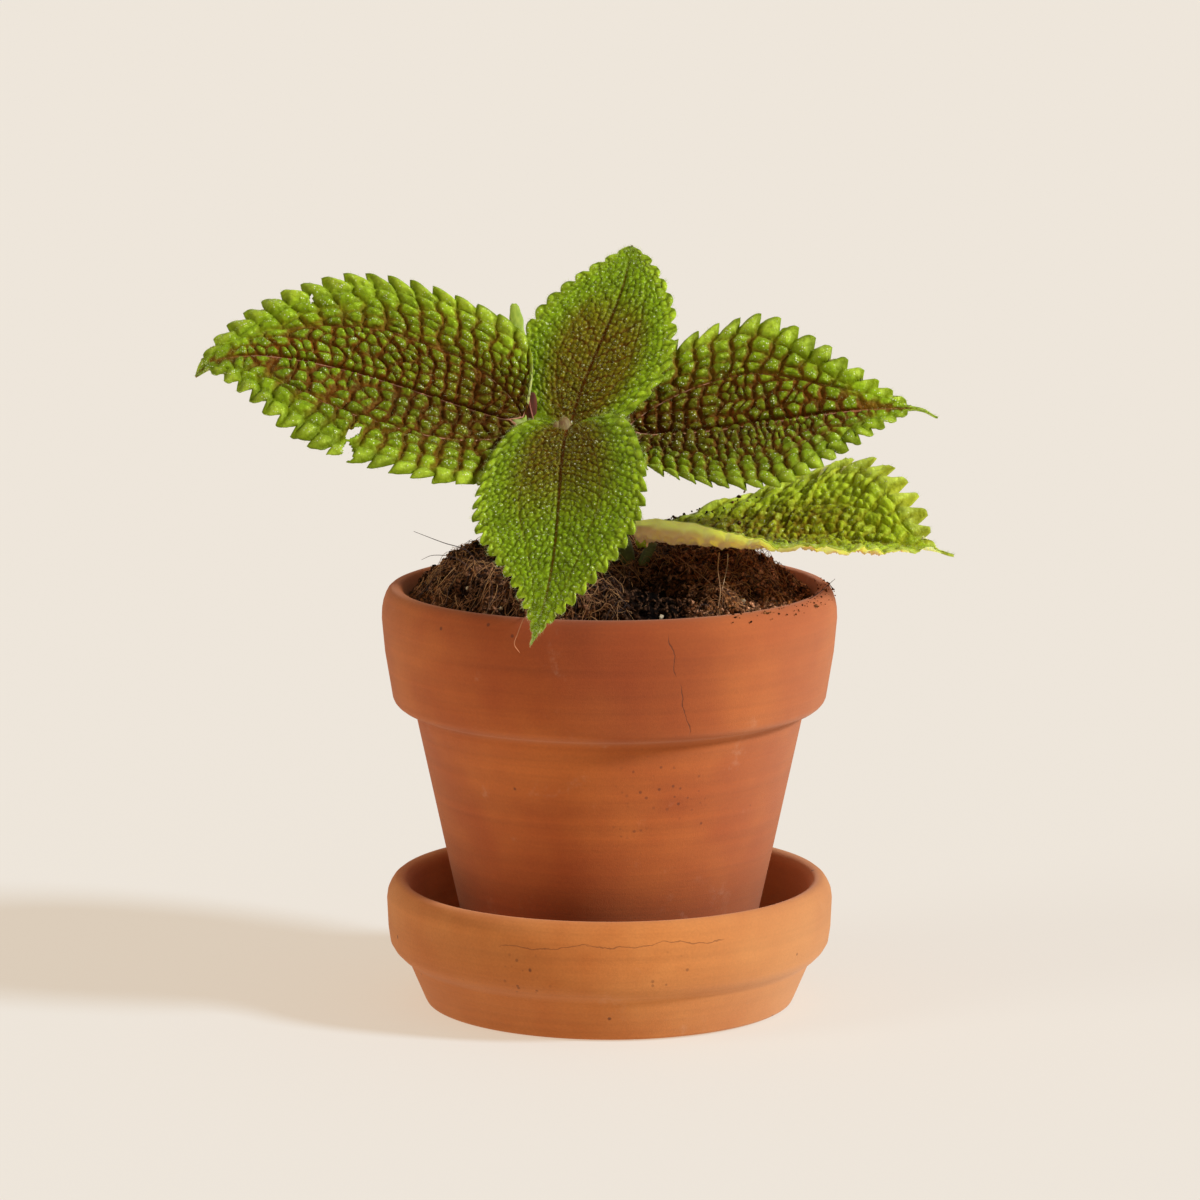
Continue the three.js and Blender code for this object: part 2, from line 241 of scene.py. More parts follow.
def finish(piece, skin, slot, *nodes):
    # gives a piece its material, then says what it rides on and what it stands in for
    if skin:  # a blade has its two skins on already
        piece.data.materials.append(skin)
    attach(piece, "root")
    if nodes:
        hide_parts(*nodes)


view = {
    "place": (0, -1.250, 0.306),
    "pitch": 9.52,           # degrees below level
    "focal": 160.3,          # mm, like the sensor's width
    "sensor": 36,
    "shift": -0.0079,
    "farthest": 60,
}

light = {
    # heading in degrees from +X towards +Y, height above the floor, softness, strength, colour
    "key": (-21, 31, 10, 3.5, "#eaf2ff"),
    "fill": (206, 28, 25, 0.6, "#fff6ea"),
    "skyColour": "#fff5ec",
    "skyStrength": 0.36,
}

floor = {
    "radius": 12,
    "drop": 0.0002,          # just below the saucer, so the two never flicker
    "colour": "#929fa3",
    "glow": "#c9b6a1",
}


def makeStage():
    clearSelection()
    bpy.ops.object.camera_add(location=view["place"], rotation=(math.radians(90 - view["pitch"]), 0, 0))
    camera = bpy.context.object
    camera.data.lens = view["focal"]
    camera.data.sensor_width = view["sensor"]
    camera.data.shift_x = view["shift"]
    camera.data.clip_end = view["farthest"]
    bpy.context.scene.camera = camera

    for name in ("key", "fill"):
        heading, height, softness, strength, colour = light[name]
        tilt, turn = math.radians(90 - height), math.radians(heading + 90)
        bpy.ops.object.light_add(type="SUN", location=(0, 0, 1), rotation=(tilt, 0, turn))
        lamp = bpy.context.object
        lamp.name = name
        lamp.data.energy = strength
        lamp.data.angle = math.radians(softness)
        lamp.data.color = linear(colour)[:3]

    world = bpy.data.worlds.new("studio")
    bpy.context.scene.world = world
    world.use_nodes = True
    setInputs(world.node_tree, world.node_tree.nodes["Background"],
              {"Color": light["skyColour"], "Strength": light["skyStrength"]})
    bpy.context.scene.view_settings.view_transform = "Standard"

    sweep = addShape(bpy.ops.mesh.primitive_circle_add, "floor", vertices=96, radius=floor["radius"],
                     fill_type="TRIFAN", location=(0, 0, -floor["drop"]))
    # a plain lit sheet of paper, so that only a soft shadow shows on it
    material, tree, shader = startMaterial("backlit paper sweep")
    setInputs(tree, shader, {"Base Color": floor["colour"], "Emission Color": floor["glow"],
                             "Emission Strength": 1.0, "Roughness": 0.95, "Specular IOR Level": 0.1})
    sweep.data.materials.append(material)
    print("stage ready")


makeStage()


saucer = {
    "height": 29.7,
    "base": 44.2,
    "crease": 48.2,
    "creaseHeight": 10.5,
    "band": 53.2,
    "floor": 5.4,
    "sides": 144,
    "slot": "saucer_clay",
}

pot = {
    "seat": 5.7,
    "base": 32.4,
    "crease": 46.2,
    "creaseHeight": 70.3,
    "band": 54,
    "rimHeight": 100.1,
    "mouth": 48.2,
    "wall": 5,
    "floor": 6,
    "drain": 6,
    "sides": 160,
    "slot": "pot_clay",
}


def saucerRings():
    s, rim = saucer, saucer["band"]
    return [
        (s["base"] - 1.2, 0), (s["base"] - 0.3, 0.25), (s["base"] + 0.1, 1),
        (s["crease"] - 0.2, s["creaseHeight"] - 0.8), (s["crease"] + 0.3, s["creaseHeight"]),
        (rim - 3.2, 11.5), (rim - 1.8, 12.9), (rim - 0.8, 14.6), (rim - 0.3, 18), (rim, 24.8),
        (rim - 0.25, 26.6), (rim - 0.8, 27.9), (rim - 1.5, 29), (rim - 2.4, s["height"]),
        (rim - 3.4, s["height"] - 0.05), (rim - 4.4, s["height"] - 0.4), (rim - 5.1, s["height"] - 1.2),
        (rim - 5.6, s["height"] - 2.3), (rim - 6.6, 20), (rim - 8.6, 10), (rim - 9.8, 7.2),
        (rim - 11.5, s["floor"] + 0.6), (rim - 15, s["floor"]), (8, s["floor"]), (0.6, s["floor"]),
    ]


def potRings():
    p, rim = pot, pot["band"]
    inner = p["base"] - p["wall"]
    return [
        (p["drain"], p["seat"]), (p["base"] - 1, p["seat"]), (p["base"] - 0.3, p["seat"] + 0.3),
        (p["base"], p["seat"] + 1), (39.3, 38.2),
        (p["crease"] - 0.2, p["creaseHeight"] - 1), (p["crease"] + 0.3, p["creaseHeight"]),
        (48.6, 71.2), (49.7, 71.6), (50.5, 72.2), (51.1, 72.9), (51.5, 73.8), (52.1, 77.5),
        (rim - 0.7, 84.8), (rim, 92.5), (rim - 0.1, 95), (rim - 0.4, 96.6), (rim - 0.9, 98.1),
        (rim - 1.5, 99.2), (rim - 2.2, 99.8), (rim - 3, p["rimHeight"]),
        (rim - 3.9, p["rimHeight"] - 0.05), (rim - 4.6, p["rimHeight"] - 0.4),
        (p["mouth"] + 0.5, p["rimHeight"] - 1.9), (p["mouth"], p["rimHeight"] - 4),
        (p["mouth"] - 2.2, 74), (40.8, 66), (inner + 1.2, p["seat"] + p["floor"] + 3),
        (inner + 0.3, p["seat"] + p["floor"] + 0.8), (inner - 1.5, p["seat"] + p["floor"]),
        (p["drain"], p["seat"] + p["floor"]), (p["drain"], p["seat"]),
    ]


def turnedClay(name, rings, sides, fill):
    # a ring drawn up the outside and down the inside, one extrude for each step of the profile
    r, z = rings[0]
    piece = addShape(bpy.ops.mesh.primitive_circle_add, name, vertices=sides, radius=r * mm,
                     fill_type=fill, location=(0, 0, z * mm))
    bpy.ops.object.transform_apply(location=True)
    editAll()
    for nextR, nextZ in rings[1:]:
        bpy.ops.mesh.extrude_region_move(TRANSFORM_OT_translate={"value": (0, 0, (nextZ - z) * mm)})
        grow = nextR / r
        bpy.ops.transform.resize(value=(grow, grow, 1), center_override=(0, 0, nextZ * mm))
        r, z = nextR, nextZ
    bpy.ops.mesh.select_all(action="SELECT")
    bpy.ops.mesh.remove_doubles(threshold=0.00002)
    bpy.ops.mesh.normals_make_consistent(inside=False)
    bpy.ops.object.mode_set(mode="OBJECT")
    bpy.ops.object.shade_smooth_by_angle(angle=math.radians(50))
    return piece


def marked(tree, value, low, high):
    # 1 where value is under low, falling to 0 at high
    return addNode(tree, "MapRange", {0: value, 1: low, 2: high, 3: 1.0, 4: 0.0},
                   interpolation_type="SMOOTHSTEP")


def terracotta(name, look):
    # fired unglazed earthenware: matt and chalky, grit and turning lines, clouded orange to red
    material, tree, shader = startMaterial(name)
    spot = addNode(tree, "TexCoord", {}).outputs["Object"]
    spot = addNode(tree, "VectorMath", {0: spot, 3: 1000.0}, operation="SCALE")
    axes = addNode(tree, "SeparateXYZ", {0: spot})

    clouds = addNode(tree, "TexNoise", {"Vector": spot, "Scale": 1 / 34, "Detail": 3.0, "Roughness": 0.6})
    lined = addNode(tree, "VectorMath", {0: spot, 1: (0.012, 0.012, 0.62)}, operation="MULTIPLY")
    lines = addNode(tree, "TexNoise", {"Vector": lined, "Scale": 1.0, "Detail": 4.0})
    grit = addNode(tree, "TexNoise", {"Vector": spot, "Scale": 1.6, "Detail": 2.0})

    cloudMix = addNode(tree, "MapRange", {0: clouds, 1: 0.36, 2: 0.66})
    base = addNode(tree, "Mix", {0: cloudMix, 6: look["dark"], 7: look["light"]}, data_type="RGBA")
    # darker towards the bottom
    lowDown = marked(tree, axes.outputs[2], *look["darkerTo"])
    darker = addNode(tree, "Math", {0: lowDown, 1: look["darkerShare"]}, operation="MULTIPLY")
    base = addNode(tree, "Mix", {0: darker, 6: base, 7: look["darker"]}, data_type="RGBA")
    for centre, reach, share in look["shadowPatches"]:
        # painted shadow: patches drawn darker where shade falls on the clay
        away = addNode(tree, "VectorMath", {0: spot, 1: centre}, operation="DISTANCE")
        near = addNode(tree, "MapRange", {0: away, 1: reach * 0.25, 2: reach, 3: share, 4: 0.0},
                       interpolation_type="SMOOTHSTEP")
        base = addNode(tree, "Mix", {0: near, 6: base, 7: look["darker"]}, data_type="RGBA")
    lineMix = addNode(tree, "MapRange", {0: lines, 1: 0.3, 2: 0.7, 3: -0.07, 4: 0.07})
    gritMix = addNode(tree, "MapRange", {0: grit, 1: 0.25, 2: 0.75, 3: 0.94, 4: 1.06})
    shade = addNode(tree, "Math", {0: lineMix, 1: gritMix}, operation="ADD")
    base = addNode(tree, "VectorMath", {0: base, 3: shade}, operation="SCALE")
    # painted sheen: the right side is drawn paler, as where the light catches it
    litSide = addNode(tree, "MapRange", {0: axes, 1: 8.0, 2: 52.0, 3: 0.0, 4: look["litSideShare"]},
                  interpolation_type="SMOOTHSTEP")
    colour = addNode(tree, "Mix", {0: litSide, 6: base, 7: look["litSide"]}, data_type="RGBA")

    # lime that has crept out of the clay, in a few pale drifts
    bloom = addNode(tree, "TexNoise", {"Vector": spot, "Scale": 1 / 15, "Detail": 5.0, "Roughness": 0.7})
    pale = addNode(tree, "MapRange", {0: bloom, 1: 0.6, 2: 0.82, 3: 0.0, 4: look["bloom"]},
                   interpolation_type="SMOOTHSTEP")
    colour = addNode(tree, "Mix", {0: pale, 6: colour, 7: clayMarks["lime"]}, data_type="RGBA")

    # dark specks of iron, about one every 9 mm, and finer ones in a few splashes
    specks = []
    for spacing, rarity, core, edge in clayMarks["specks"]:
        cells = addNode(tree, "TexVoronoi", {"Vector": spot, "Scale": 1 / spacing, "Randomness": 1.0})
        pick = addNode(tree, "SeparateColor", {0: cells.outputs["Color"]})
        rare = addNode(tree, "Math", {0: pick, 1: rarity}, operation="GREATER_THAN")
        dot = marked(tree, cells, core, edge)
        specks.append(addNode(tree, "Math", {0: rare, 1: dot}, operation="MULTIPLY"))
    coarse, fine = specks
    splashSum = 0.0
    for centre, reach in look["splashes"]:
        away = addNode(tree, "VectorMath", {0: spot, 1: centre}, operation="DISTANCE")
        near = marked(tree, away, reach * 0.2, reach)
        splashSum = addNode(tree, "Math", {0: near, 1: splashSum}, operation="MAXIMUM")
    splash = addNode(tree, "Math", {0: fine, 1: splashSum}, operation="MULTIPLY")
    dark = addNode(tree, "Math", {0: coarse, 1: splash}, operation="MAXIMUM")
    dark = addNode(tree, "Math", {0: dark, 1: 0.75}, operation="MULTIPLY")
    colour = addNode(tree, "Mix", {0: dark, 6: colour, 7: clayMarks["iron"]}, data_type="RGBA")

    # hairline cracks, each a line between two points of the front that noise makes wander
    wander = addNode(tree, "TexNoise", {"Vector": spot, "Scale": 1 / 7, "Detail": 4.0})
    sway = clayMarks["wander"]
    shake = addNode(tree, "MapRange", {0: wander, 1: 0.0, 2: 1.0, 3: -sway, 4: sway})
    crackSum = 0.0
    for (x0, z0), (x1, z1) in look["cracks"]:
        length = math.hypot(x1 - x0, z1 - z0)
        cx, cz = (x1 - x0) / length, (z1 - z0) / length
        along = addNode(tree, "VectorMath", {0: spot, 1: (cx, 0, cz)}, operation="DOT_PRODUCT")
        aside = addNode(tree, "VectorMath", {0: spot, 1: (-cz, 0, cx)}, operation="DOT_PRODUCT")
        aside = addNode(tree, "Math", {0: aside, 1: shake}, operation="ADD")
        aside = addNode(tree, "Math", {0: aside, 1: -cz * x0 + cx * z0}, operation="SUBTRACT")
        aside = addNode(tree, "Math", {0: aside}, operation="ABSOLUTE")
        thin = marked(tree, aside, *clayMarks["crackWidth"])
        middle = cx * (x0 + x1) / 2 + cz * (z0 + z1) / 2
        off = addNode(tree, "Math", {0: along, 1: middle}, operation="SUBTRACT")
        off = addNode(tree, "Math", {0: off}, operation="ABSOLUTE")
        within = marked(tree, off, length / 2 - 2, length / 2)
        front = marked(tree, axes.outputs[1], -22, -20)
        one = addNode(tree, "Math", {0: thin, 1: within}, operation="MULTIPLY")
        one = addNode(tree, "Math", {0: one, 1: front}, operation="MULTIPLY")
        crackSum = addNode(tree, "Math", {0: one, 1: crackSum}, operation="MAXIMUM")
    crackShare = addNode(tree, "Math", {0: crackSum, 1: look["crackShare"]}, operation="MULTIPLY")
    colour = addNode(tree, "Mix", {0: crackShare, 6: colour, 7: clayMarks["crack"]}, data_type="RGBA")

    grain = addNode(tree, "TexNoise", {"Vector": spot, "Scale": 3.0, "Detail": 3.0, "Roughness": 0.7})
    rise = addNode(tree, "Math", {0: lines, 1: 1.6}, operation="MULTIPLY")
    rise = addNode(tree, "Math", {0: rise, 1: grain}, operation="ADD")
    dip = addNode(tree, "Math", {0: crackSum, 1: 1.5}, operation="MULTIPLY")
    rise = addNode(tree, "Math", {0: rise, 1: dip}, operation="SUBTRACT")
    bump = addNode(tree, "Bump", {"Strength": 0.35, "Distance": 0.00018, "Height": rise})
    setInputs(tree, shader, {"Base Color": colour, "Normal": bump, "Roughness": 0.86,
                             "Specular IOR Level": 0.18, "Sheen Weight": 0.28, "Sheen Tint": "#ffd6b4",
                             "Sheen Roughness": 0.6})
    return material


clayMarks = {
    "lime": "#d9b595", "iron": "#5a2a17", "crack": "#5b2c18",
    # spacing and rarity of the specks, then where each fades from and to
    "specks": [(5.5, 0.83, 0.05, 0.11), (1.5, 0.6, 0.15, 0.35)],
    "crackWidth": (0.04, 0.17),
    "wander": 2.2,
}

# shadowPatches: middle, reach and share of each patch of painted shadow; splashes: middle and reach;
# cracks: both ends, x and z
potLook = {
    "light": "#b96025", "dark": "#a54a19",
    "darker": "#7c2f0f", "darkerTo": (14, 52), "darkerShare": 0.62,
    "litSide": "#b8734a", "litSideShare": 0.3, "bloom": 0.3, "crackShare": 0.8,
    # painted shadow of the leaves on the band
    "shadowPatches": [((6, -52, 93), 34, 0.55), ((-22, -46, 98), 26, 0.3)],
    "splashes": [((9, -40, 62), 11), ((17, -39, 58), 9), ((4, -38, 47), 8)],
    "cracks": [((13.3, 97.6), (15.2, 86.6)), ((16.4, 86.0), (18.2, 72.5))],
}

saucerLook = {
    "light": "#cf8240", "dark": "#bd6a2c",
    "darker": "#a5531c", "darkerTo": (-20, 20), "darkerShare": 0.3,
    "litSide": "#bf8a5a", "litSideShare": 0.45, "bloom": 0.25, "crackShare": 0.5,
    # painted shadow at the front left
    "shadowPatches": [((-30, -40, 12), 30, 0.4)],
    "splashes": [((-20, -50, 16), 9), ((14, -50, 17), 8)],
    "cracks": [((-26, 23.4), (-4, 24.2)), ((-6, 24.4), (27, 25.2))],
}


def makePot():
    piece = turnedClay("clay_pot", potRings(), pot["sides"], "NOTHING")
    finish(piece, terracotta("terracotta, thrown pot", potLook), pot["slot"], "pot")
    print("pot ready")


def makeSaucer():
    piece = turnedClay("clay_saucer", saucerRings(), saucer["sides"], "NGON")
    finish(piece, terracotta("terracotta, pressed saucer", saucerLook), saucer["slot"], "saucer")
    print("saucer ready")


makePot()
makeSaucer()


mound = {
    "top": 105.9,
    "tilt": 0.07,
    "edge": 97.6,
    "plateau": 39,
    "reach": 47.6,           # soil edge, just inside the pot's mouth
    "cuts": 190,
    "shadedHollow": (12.5, -30),   # a pit at the front right, painted dark too
    "hollowSpread": 6.4,
    "hollowDepth": 3.0,
    "leafShadow": (7, -32),       # painted shadow: the darkest place, where the leaves keep the light off
    "leafShadowReach": (11, 22),
    "litSideFrom": 12.0,         # painted light: the right side is drawn paler, as lit
    "litSideTo": 28.0,
    "slot": "potting_mix",
}


def moundHeight(x, y):
    # the same slow mound as the solid, without its lumps
    r = np.hypot(x, y)
    angle = np.arctan2(y, x)
    right = np.maximum(np.cos(angle), 0)
    left = smooth(0.1, 1, -np.cos(angle))
    fall = smooth(mound["plateau"] - 5 * right - 5 * left, mound["reach"], r)
    slow = 0.7 * np.sin(2 * angle + 0.6) + 0.6 * np.sin(3 * angle + 2) - 1.2 * np.cos(angle)
    rough = slow * np.minimum(r / 20, 1) * (1 - 0.7 * fall)
    tilt = mound["tilt"] * r * np.sin(angle) * (1 - fall)
    return mix(mound["top"], mound["edge"] + 1.8 * right ** 2, fall) + tilt + rough


def clumps(x, y):
    # rounded clumps with deep creases between them, then crumbs and grains
    coarse = np.abs(valueNoise(x / 4.6, y / 4.6, 0 * x, 5))
    middle = np.abs(valueNoise(x / 2.1, y / 2.1, 0 * x, 7))
    return coarse, 2.3 * coarse + 1.2 * middle + 0.5 * valueNoise(x / 0.9, y / 0.9, 0 * x, 9)


def hollowShare(x, y):
    # 1 in the middle of the pit, longer to the front than across
    cx, cy = mound["shadedHollow"]
    return np.exp(-((x - cx) ** 2 + 0.2 * (y - cy) ** 2) / (2 * mound["hollowSpread"] ** 2))


def crumbled(x, y):
    # the height of the finished surface
    edge = smooth(mound["reach"], mound["reach"] - 3, np.hypot(x, y))
    lumps = 1.2 * valueNoise(x / 9, y / 9, 0 * x, 3) + clumps(x, y)[1] - 0.9
    pit = mound["hollowDepth"] * hollowShare(x, y)
    return moundHeight(x, y) + lumps * (0.35 + 0.65 * edge) - 0.4 - pit


def pottingMix(name, deep, brown, tan, layer=None):
    # damp peat with chopped coir: red brown on the crumbs, no shine, with painted shade that makes it
    # nearly black in the gaps
    material, tree, shader = startMaterial(name)
    spot = addNode(tree, "TexCoord", {}).outputs["Object"]
    spot = addNode(tree, "VectorMath", {0: spot, 3: 1000.0}, operation="SCALE")
    crumbs = addNode(tree, "TexNoise", {"Vector": spot, "Scale": 0.55, "Detail": 5.0, "Roughness": 0.7})
    fibre = addNode(tree, "TexNoise", {"Vector": spot, "Scale": 1.3, "Detail": 2.0, "Distortion": 2.5})
    ramp = addNode(tree, "MapRange", {0: crumbs, 1: 0.38, 2: 0.66})
    colour = addNode(tree, "Mix", {0: ramp, 6: deep, 7: brown}, data_type="RGBA")
    strands = addNode(tree, "MapRange", {0: fibre, 1: 0.6, 2: 0.76, 3: 0.0, 4: 0.55})
    colour = addNode(tree, "Mix", {0: strands, 6: colour, 7: tan}, data_type="RGBA")
    # painted shade: nearly black in the creases and the pit
    if layer:
        shadedHollow = addNode(tree, "VertexColor", {}, layer_name=layer)
        shadedHollow = addNode(tree, "SeparateColor", {0: shadedHollow})
        colour = addNode(tree, "Mix", {0: shadedHollow, 6: colour, 7: "#120601"}, data_type="RGBA")
    axes = addNode(tree, "SeparateXYZ", {0: spot})
    # painted light: paler towards the right side
    litSide = addNode(tree, "MapRange", {0: axes, 1: mound["litSideFrom"], 2: mound["litSideTo"], 3: 1.1, 4: 2.3})
    # grains, with painted shade in the gaps between them
    grains = addNode(tree, "TexVoronoi", {"Vector": spot, "Scale": 1 / 0.85})
    gapShade = addNode(tree, "MapRange", {0: grains, 1: 0.25, 2: 0.72, 3: 1.45, 4: 0.25})
    shade = addNode(tree, "Math", {0: litSide, 1: gapShade}, operation="MULTIPLY")
    # painted shadow of the leaves, an oval at the front
    (x, y), (wide, long) = mound["leafShadow"], mound["leafShadowReach"]
    flat = addNode(tree, "VectorMath", {0: spot, 1: (1 / wide, 1 / long, 0)}, operation="MULTIPLY")
    away = addNode(tree, "VectorMath", {0: flat, 1: (x / wide, y / long, 0)}, operation="DISTANCE")
    leafShadow = addNode(tree, "MapRange", {0: away, 1: 0.5, 2: 1.4, 3: 0.3, 4: 1.0},
                    interpolation_type="SMOOTHSTEP")
    shade = addNode(tree, "Math", {0: shade, 1: leafShadow}, operation="MULTIPLY")
    colour = addNode(tree, "VectorMath", {0: colour, 3: shade}, operation="SCALE")
    rise = addNode(tree, "Math", {0: crumbs, 1: grains}, operation="SUBTRACT")
    bump = addNode(tree, "Bump", {"Strength": 1.0, "Distance": 0.0008, "Height": rise})
    setInputs(tree, shader, {"Base Color": colour, "Normal": bump, "Roughness": 1.0,
                             "Specular IOR Level": 0.08})
    return material


def makeSoil():
    cuts = mound["cuts"]
    piece = addShape(bpy.ops.mesh.primitive_grid_add, "peat_mound", x_subdivisions=cuts,
                     y_subdivisions=cuts, size=2)
    co = vectorsOf(piece.data.vertices, "co").astype(float)
    # the square grid is drawn out to a disc
    x = co[:, 0] * np.sqrt(1 - co[:, 1] ** 2 / 2) * mound["reach"]
    y = co[:, 1] * np.sqrt(1 - co[:, 0] ** 2 / 2) * mound["reach"]
    # painted shade for the creases between clumps and for the pit, kept in a colour layer
    creases = 1 - smooth(0.0, 0.34, clumps(x, y)[0] + 0.05)
    shadedHollow = np.maximum(creases, 0.97 * smooth(0.1, 0.8, hollowShare(x, y)))
    addLayer(piece.data, "shadedHollow", [shadedHollow] * 3 + [np.ones_like(x)])
    moveVerts(piece.data, np.stack([x, y, crumbled(x, y)], 1))
    # its edge is drawn down inside the pot and closed below
    editAll()
    bpy.ops.mesh.region_to_loop()
    for z, grow in ((92, 0.997), (80, 0.975), (60, 0.86)):
        bpy.ops.mesh.extrude_edges_move(TRANSFORM_OT_translate={"value": (0, 0, 0)})
        bpy.ops.transform.resize(value=(grow, grow, 0), center_override=(0, 0, z * mm))
    bpy.ops.mesh.edge_face_add()
    bpy.ops.mesh.select_all(action="SELECT")
    bpy.ops.mesh.normals_make_consistent(inside=False)
    bpy.ops.object.mode_set(mode="OBJECT")
    bpy.ops.object.shade_smooth()
    finish(piece, pottingMix("peat and coir", "#1f0f06", "#7d4c27", "#b07c4a", "shadedHollow"),
           mound["slot"], "soil")


def scatterSpots(count, seed, reach):
    # spots spread evenly over a disc
    n = np.arange(count)
    r = reach * np.sqrt(hashed(n, seed))
    angle = 2 * np.pi * hashed(n, seed + 1)
    return r * np.cos(angle), r * np.sin(angle)


crumbShapes = {
    # the least each side can be, what chance adds to it, and the middle of their directions
    "shred": ((0.45, 0.45, 0.7), (0.6, 0.45, 1.7), 0.499),
    "lump": ((0.6, 0.6, 0.7), (0.8, 0.6, 0.9), (0.5, 0.5, 0.47)),
}

looseMix = {
    # count, sizes, seed, colour in the gaps, colour on top
    "peat_crumbs": (3600, (0.28, 0.95), 11, "#2b160a", "#b07c58"),
    "peat_clods": (260, (0.9, 1.7), 31, "#21110a", "#744627"),
}


def scatterCrumbs(name, places, sizes, seed, skin, shape="lump", raised=0):
    n = np.arange(len(places))
    least, extra, middle = crumbShapes[shape]
    size = mix(*sizes, hashed(n, seed + 2) ** 2)
    places[:, 2] += raised * size
    ways = threeHashed(n, seed + 3) - middle
    stretch = least + threeHashed(n, seed + 6) * extra
    model = addShape(bpy.ops.mesh.primitive_ico_sphere_add, "crumb", subdivisions=1, radius=1)
    piece = copiesOf(model, name, places, axesAlong(ways, seed), stretch * size[:, None])
    finish(piece, skin, mound["slot"])


def makeCrumbs():
    for name, (count, sizes, seed, deep, brown) in looseMix.items():
        x, y = scatterSpots(count, seed, mound["reach"] - 1.5)
        skin = pottingMix(name.replace("_", " "), deep, brown, "#96683f")
        scatterCrumbs(name, np.stack([x, y, crumbled(x, y)], 1), sizes, seed, skin, "shred", 0.2)


def plainFibre(name, hexColour, roughness):
    # dry plant fibre, coir or root: plain, thin and slightly silky
    material, tree, shader = startMaterial(name)
    spot = addNode(tree, "TexCoord", {}).outputs["Object"]
    mottle = addNode(tree, "TexNoise", {"Vector": spot, "Scale": 240.0, "Detail": 2.0})
    shade = addNode(tree, "MapRange", {0: mottle, 1: 0.3, 2: 0.7, 3: 0.55, 4: 1.25})
    colour = addNode(tree, "VectorMath", {0: linear(hexColour)[:3], 3: shade}, operation="SCALE")
    setInputs(tree, shader, {"Base Color": colour, "Roughness": roughness})
    return material


fibres = {
    "sorts": [
        # name, colour, count, lengths, thickness, how far they stand off the mound
        ("coir_dark", "#35190b", 800, (3, 11), 0.08, 1.1),
        ("coir_brown", "#a8703f", 950, (3, 12), 0.06, 1.3),
        ("coir_tan", "#d29a5e", 560, (3, 13), 0.055, 1.5),
    ],
    "steps": 8,
    "bend": 2.6,
}


def makeFibres():
    for s, (name, colour, count, lengths, thick, stand) in enumerate(fibres["sorts"]):
        x, y = scatterSpots(count, 50 + 9 * s, mound["reach"] - 3)
        tubes = []
        for n in np.flatnonzero(hollowShare(x, y) < 0.35):
            length = mix(*lengths, float(hashed(n, s, 3)) ** 1.5)
            heading = 2 * math.pi * float(hashed(n, s, 4))
            bend = (float(hashed(n, s, 5)) - 0.5) * fibres["bend"]
            t = np.linspace(-0.5, 0.5, fibres["steps"])
            turn = heading + bend * t
            px = x[n] + length * t * np.cos(turn)
            py = y[n] + length * t * np.sin(turn)
            r = np.hypot(px, py)
            hold = np.minimum(1, (mound["reach"] - 1.2) / np.maximum(r, 1e-6))
            px, py = px * hold, py * hold
            arch = stand * (0.4 + 1.6 * float(hashed(n, s, 6)) ** 3) * (1 - (2 * t) ** 2)
            pz = crumbled(px, py) + arch + 0.15
            line = np.stack([px, py, pz], 1)
            radii = thick * (0.7 + 0.6 * float(hashed(n, s, 7))) * (1 - 0.6 * np.abs(2 * t) ** 3)
            tubes.append(tubeAlong(line, radii, 3))
        piece = joinedTubes(name, tubes)
        finish(piece, plainFibre(name.replace("_", " fibre, "), colour, 0.7), mound["slot"])
    print("potting mix ready")


strands = {
    # single roots and fibres that stand out: colour, thickness, then the points each runs through
    "root_hanging": ("#b98a5e", 0.12, [
        (25.6, -19, 110.8), (25.2, -24, 107.6), (25.6, -33, 104), (24.9, -40, 101.2)]),
    "root_hanging_thin": ("#d8b68c", 0.09, [(27.6, -18.5, 110.6), (27.4, -22, 108), (26, -30, 103.6)]),
    "root_slanting": ("#96653f", 0.13, [(15.5, -15, 109.5), (20, -22, 107), (25.6, -30, 103.4)]),
    "fibre_left": ("#35190b", 0.13, [
        (-30, -9, 105.5), (-33.5, -11, 110), (-39, -13, 112.2), (-45.8, -14, 115)]),
    "fibre_left_low": ("#4a2a18", 0.1, [
        (-31, -14, 105), (-36, -15, 108.8), (-41, -15.5, 109.6), (-44, -16, 108.6)]),
    "fibre_over_rim": ("#d98a58", 0.16, [
        (-17.5, -43, 101.8), (-18.6, -48.5, 101), (-19.6, -52.2, 100.6),
        (-20.9, -54.4, 97.6), (-21.6, -54.9, 95.4), (-20.4, -54.7, 93.4)]),
    "fibre_right": ("#4a2a18", 0.13, [(43, -21, 98.5), (48, -20, 100.8), (52.7, -18, 104.4)]),
}

chips = {
    "spots": [(29, -36), (41, -22), (31, -25), (12, -38), (-33, -22), (-25, -35), (36, -30)],
    "sizes": (0.6, 1.0),
}

rimDust = {
    # thickest at the front right; the rim is highest at its crown and falls off to both sides
    "count": 110,
    "heading": (-58, 12),
    "ring": (49.0, 53.6),
    "crown": 50.6,
    "fall": 0.22,
    "sizes": (0.12, 0.34),
}


def makeStrands():
    for name, (colour, thick, points) in strands.items():
        line = catmullRom(points, 8)
        taper = 1 - 0.6 * np.linspace(0, 1, len(line)) ** 2
        piece = joinedTubes(name, [tubeAlong(line, thick * taper, 5)])
        finish(piece, plainFibre(name.replace("_", " "), colour, 0.65), mound["slot"])


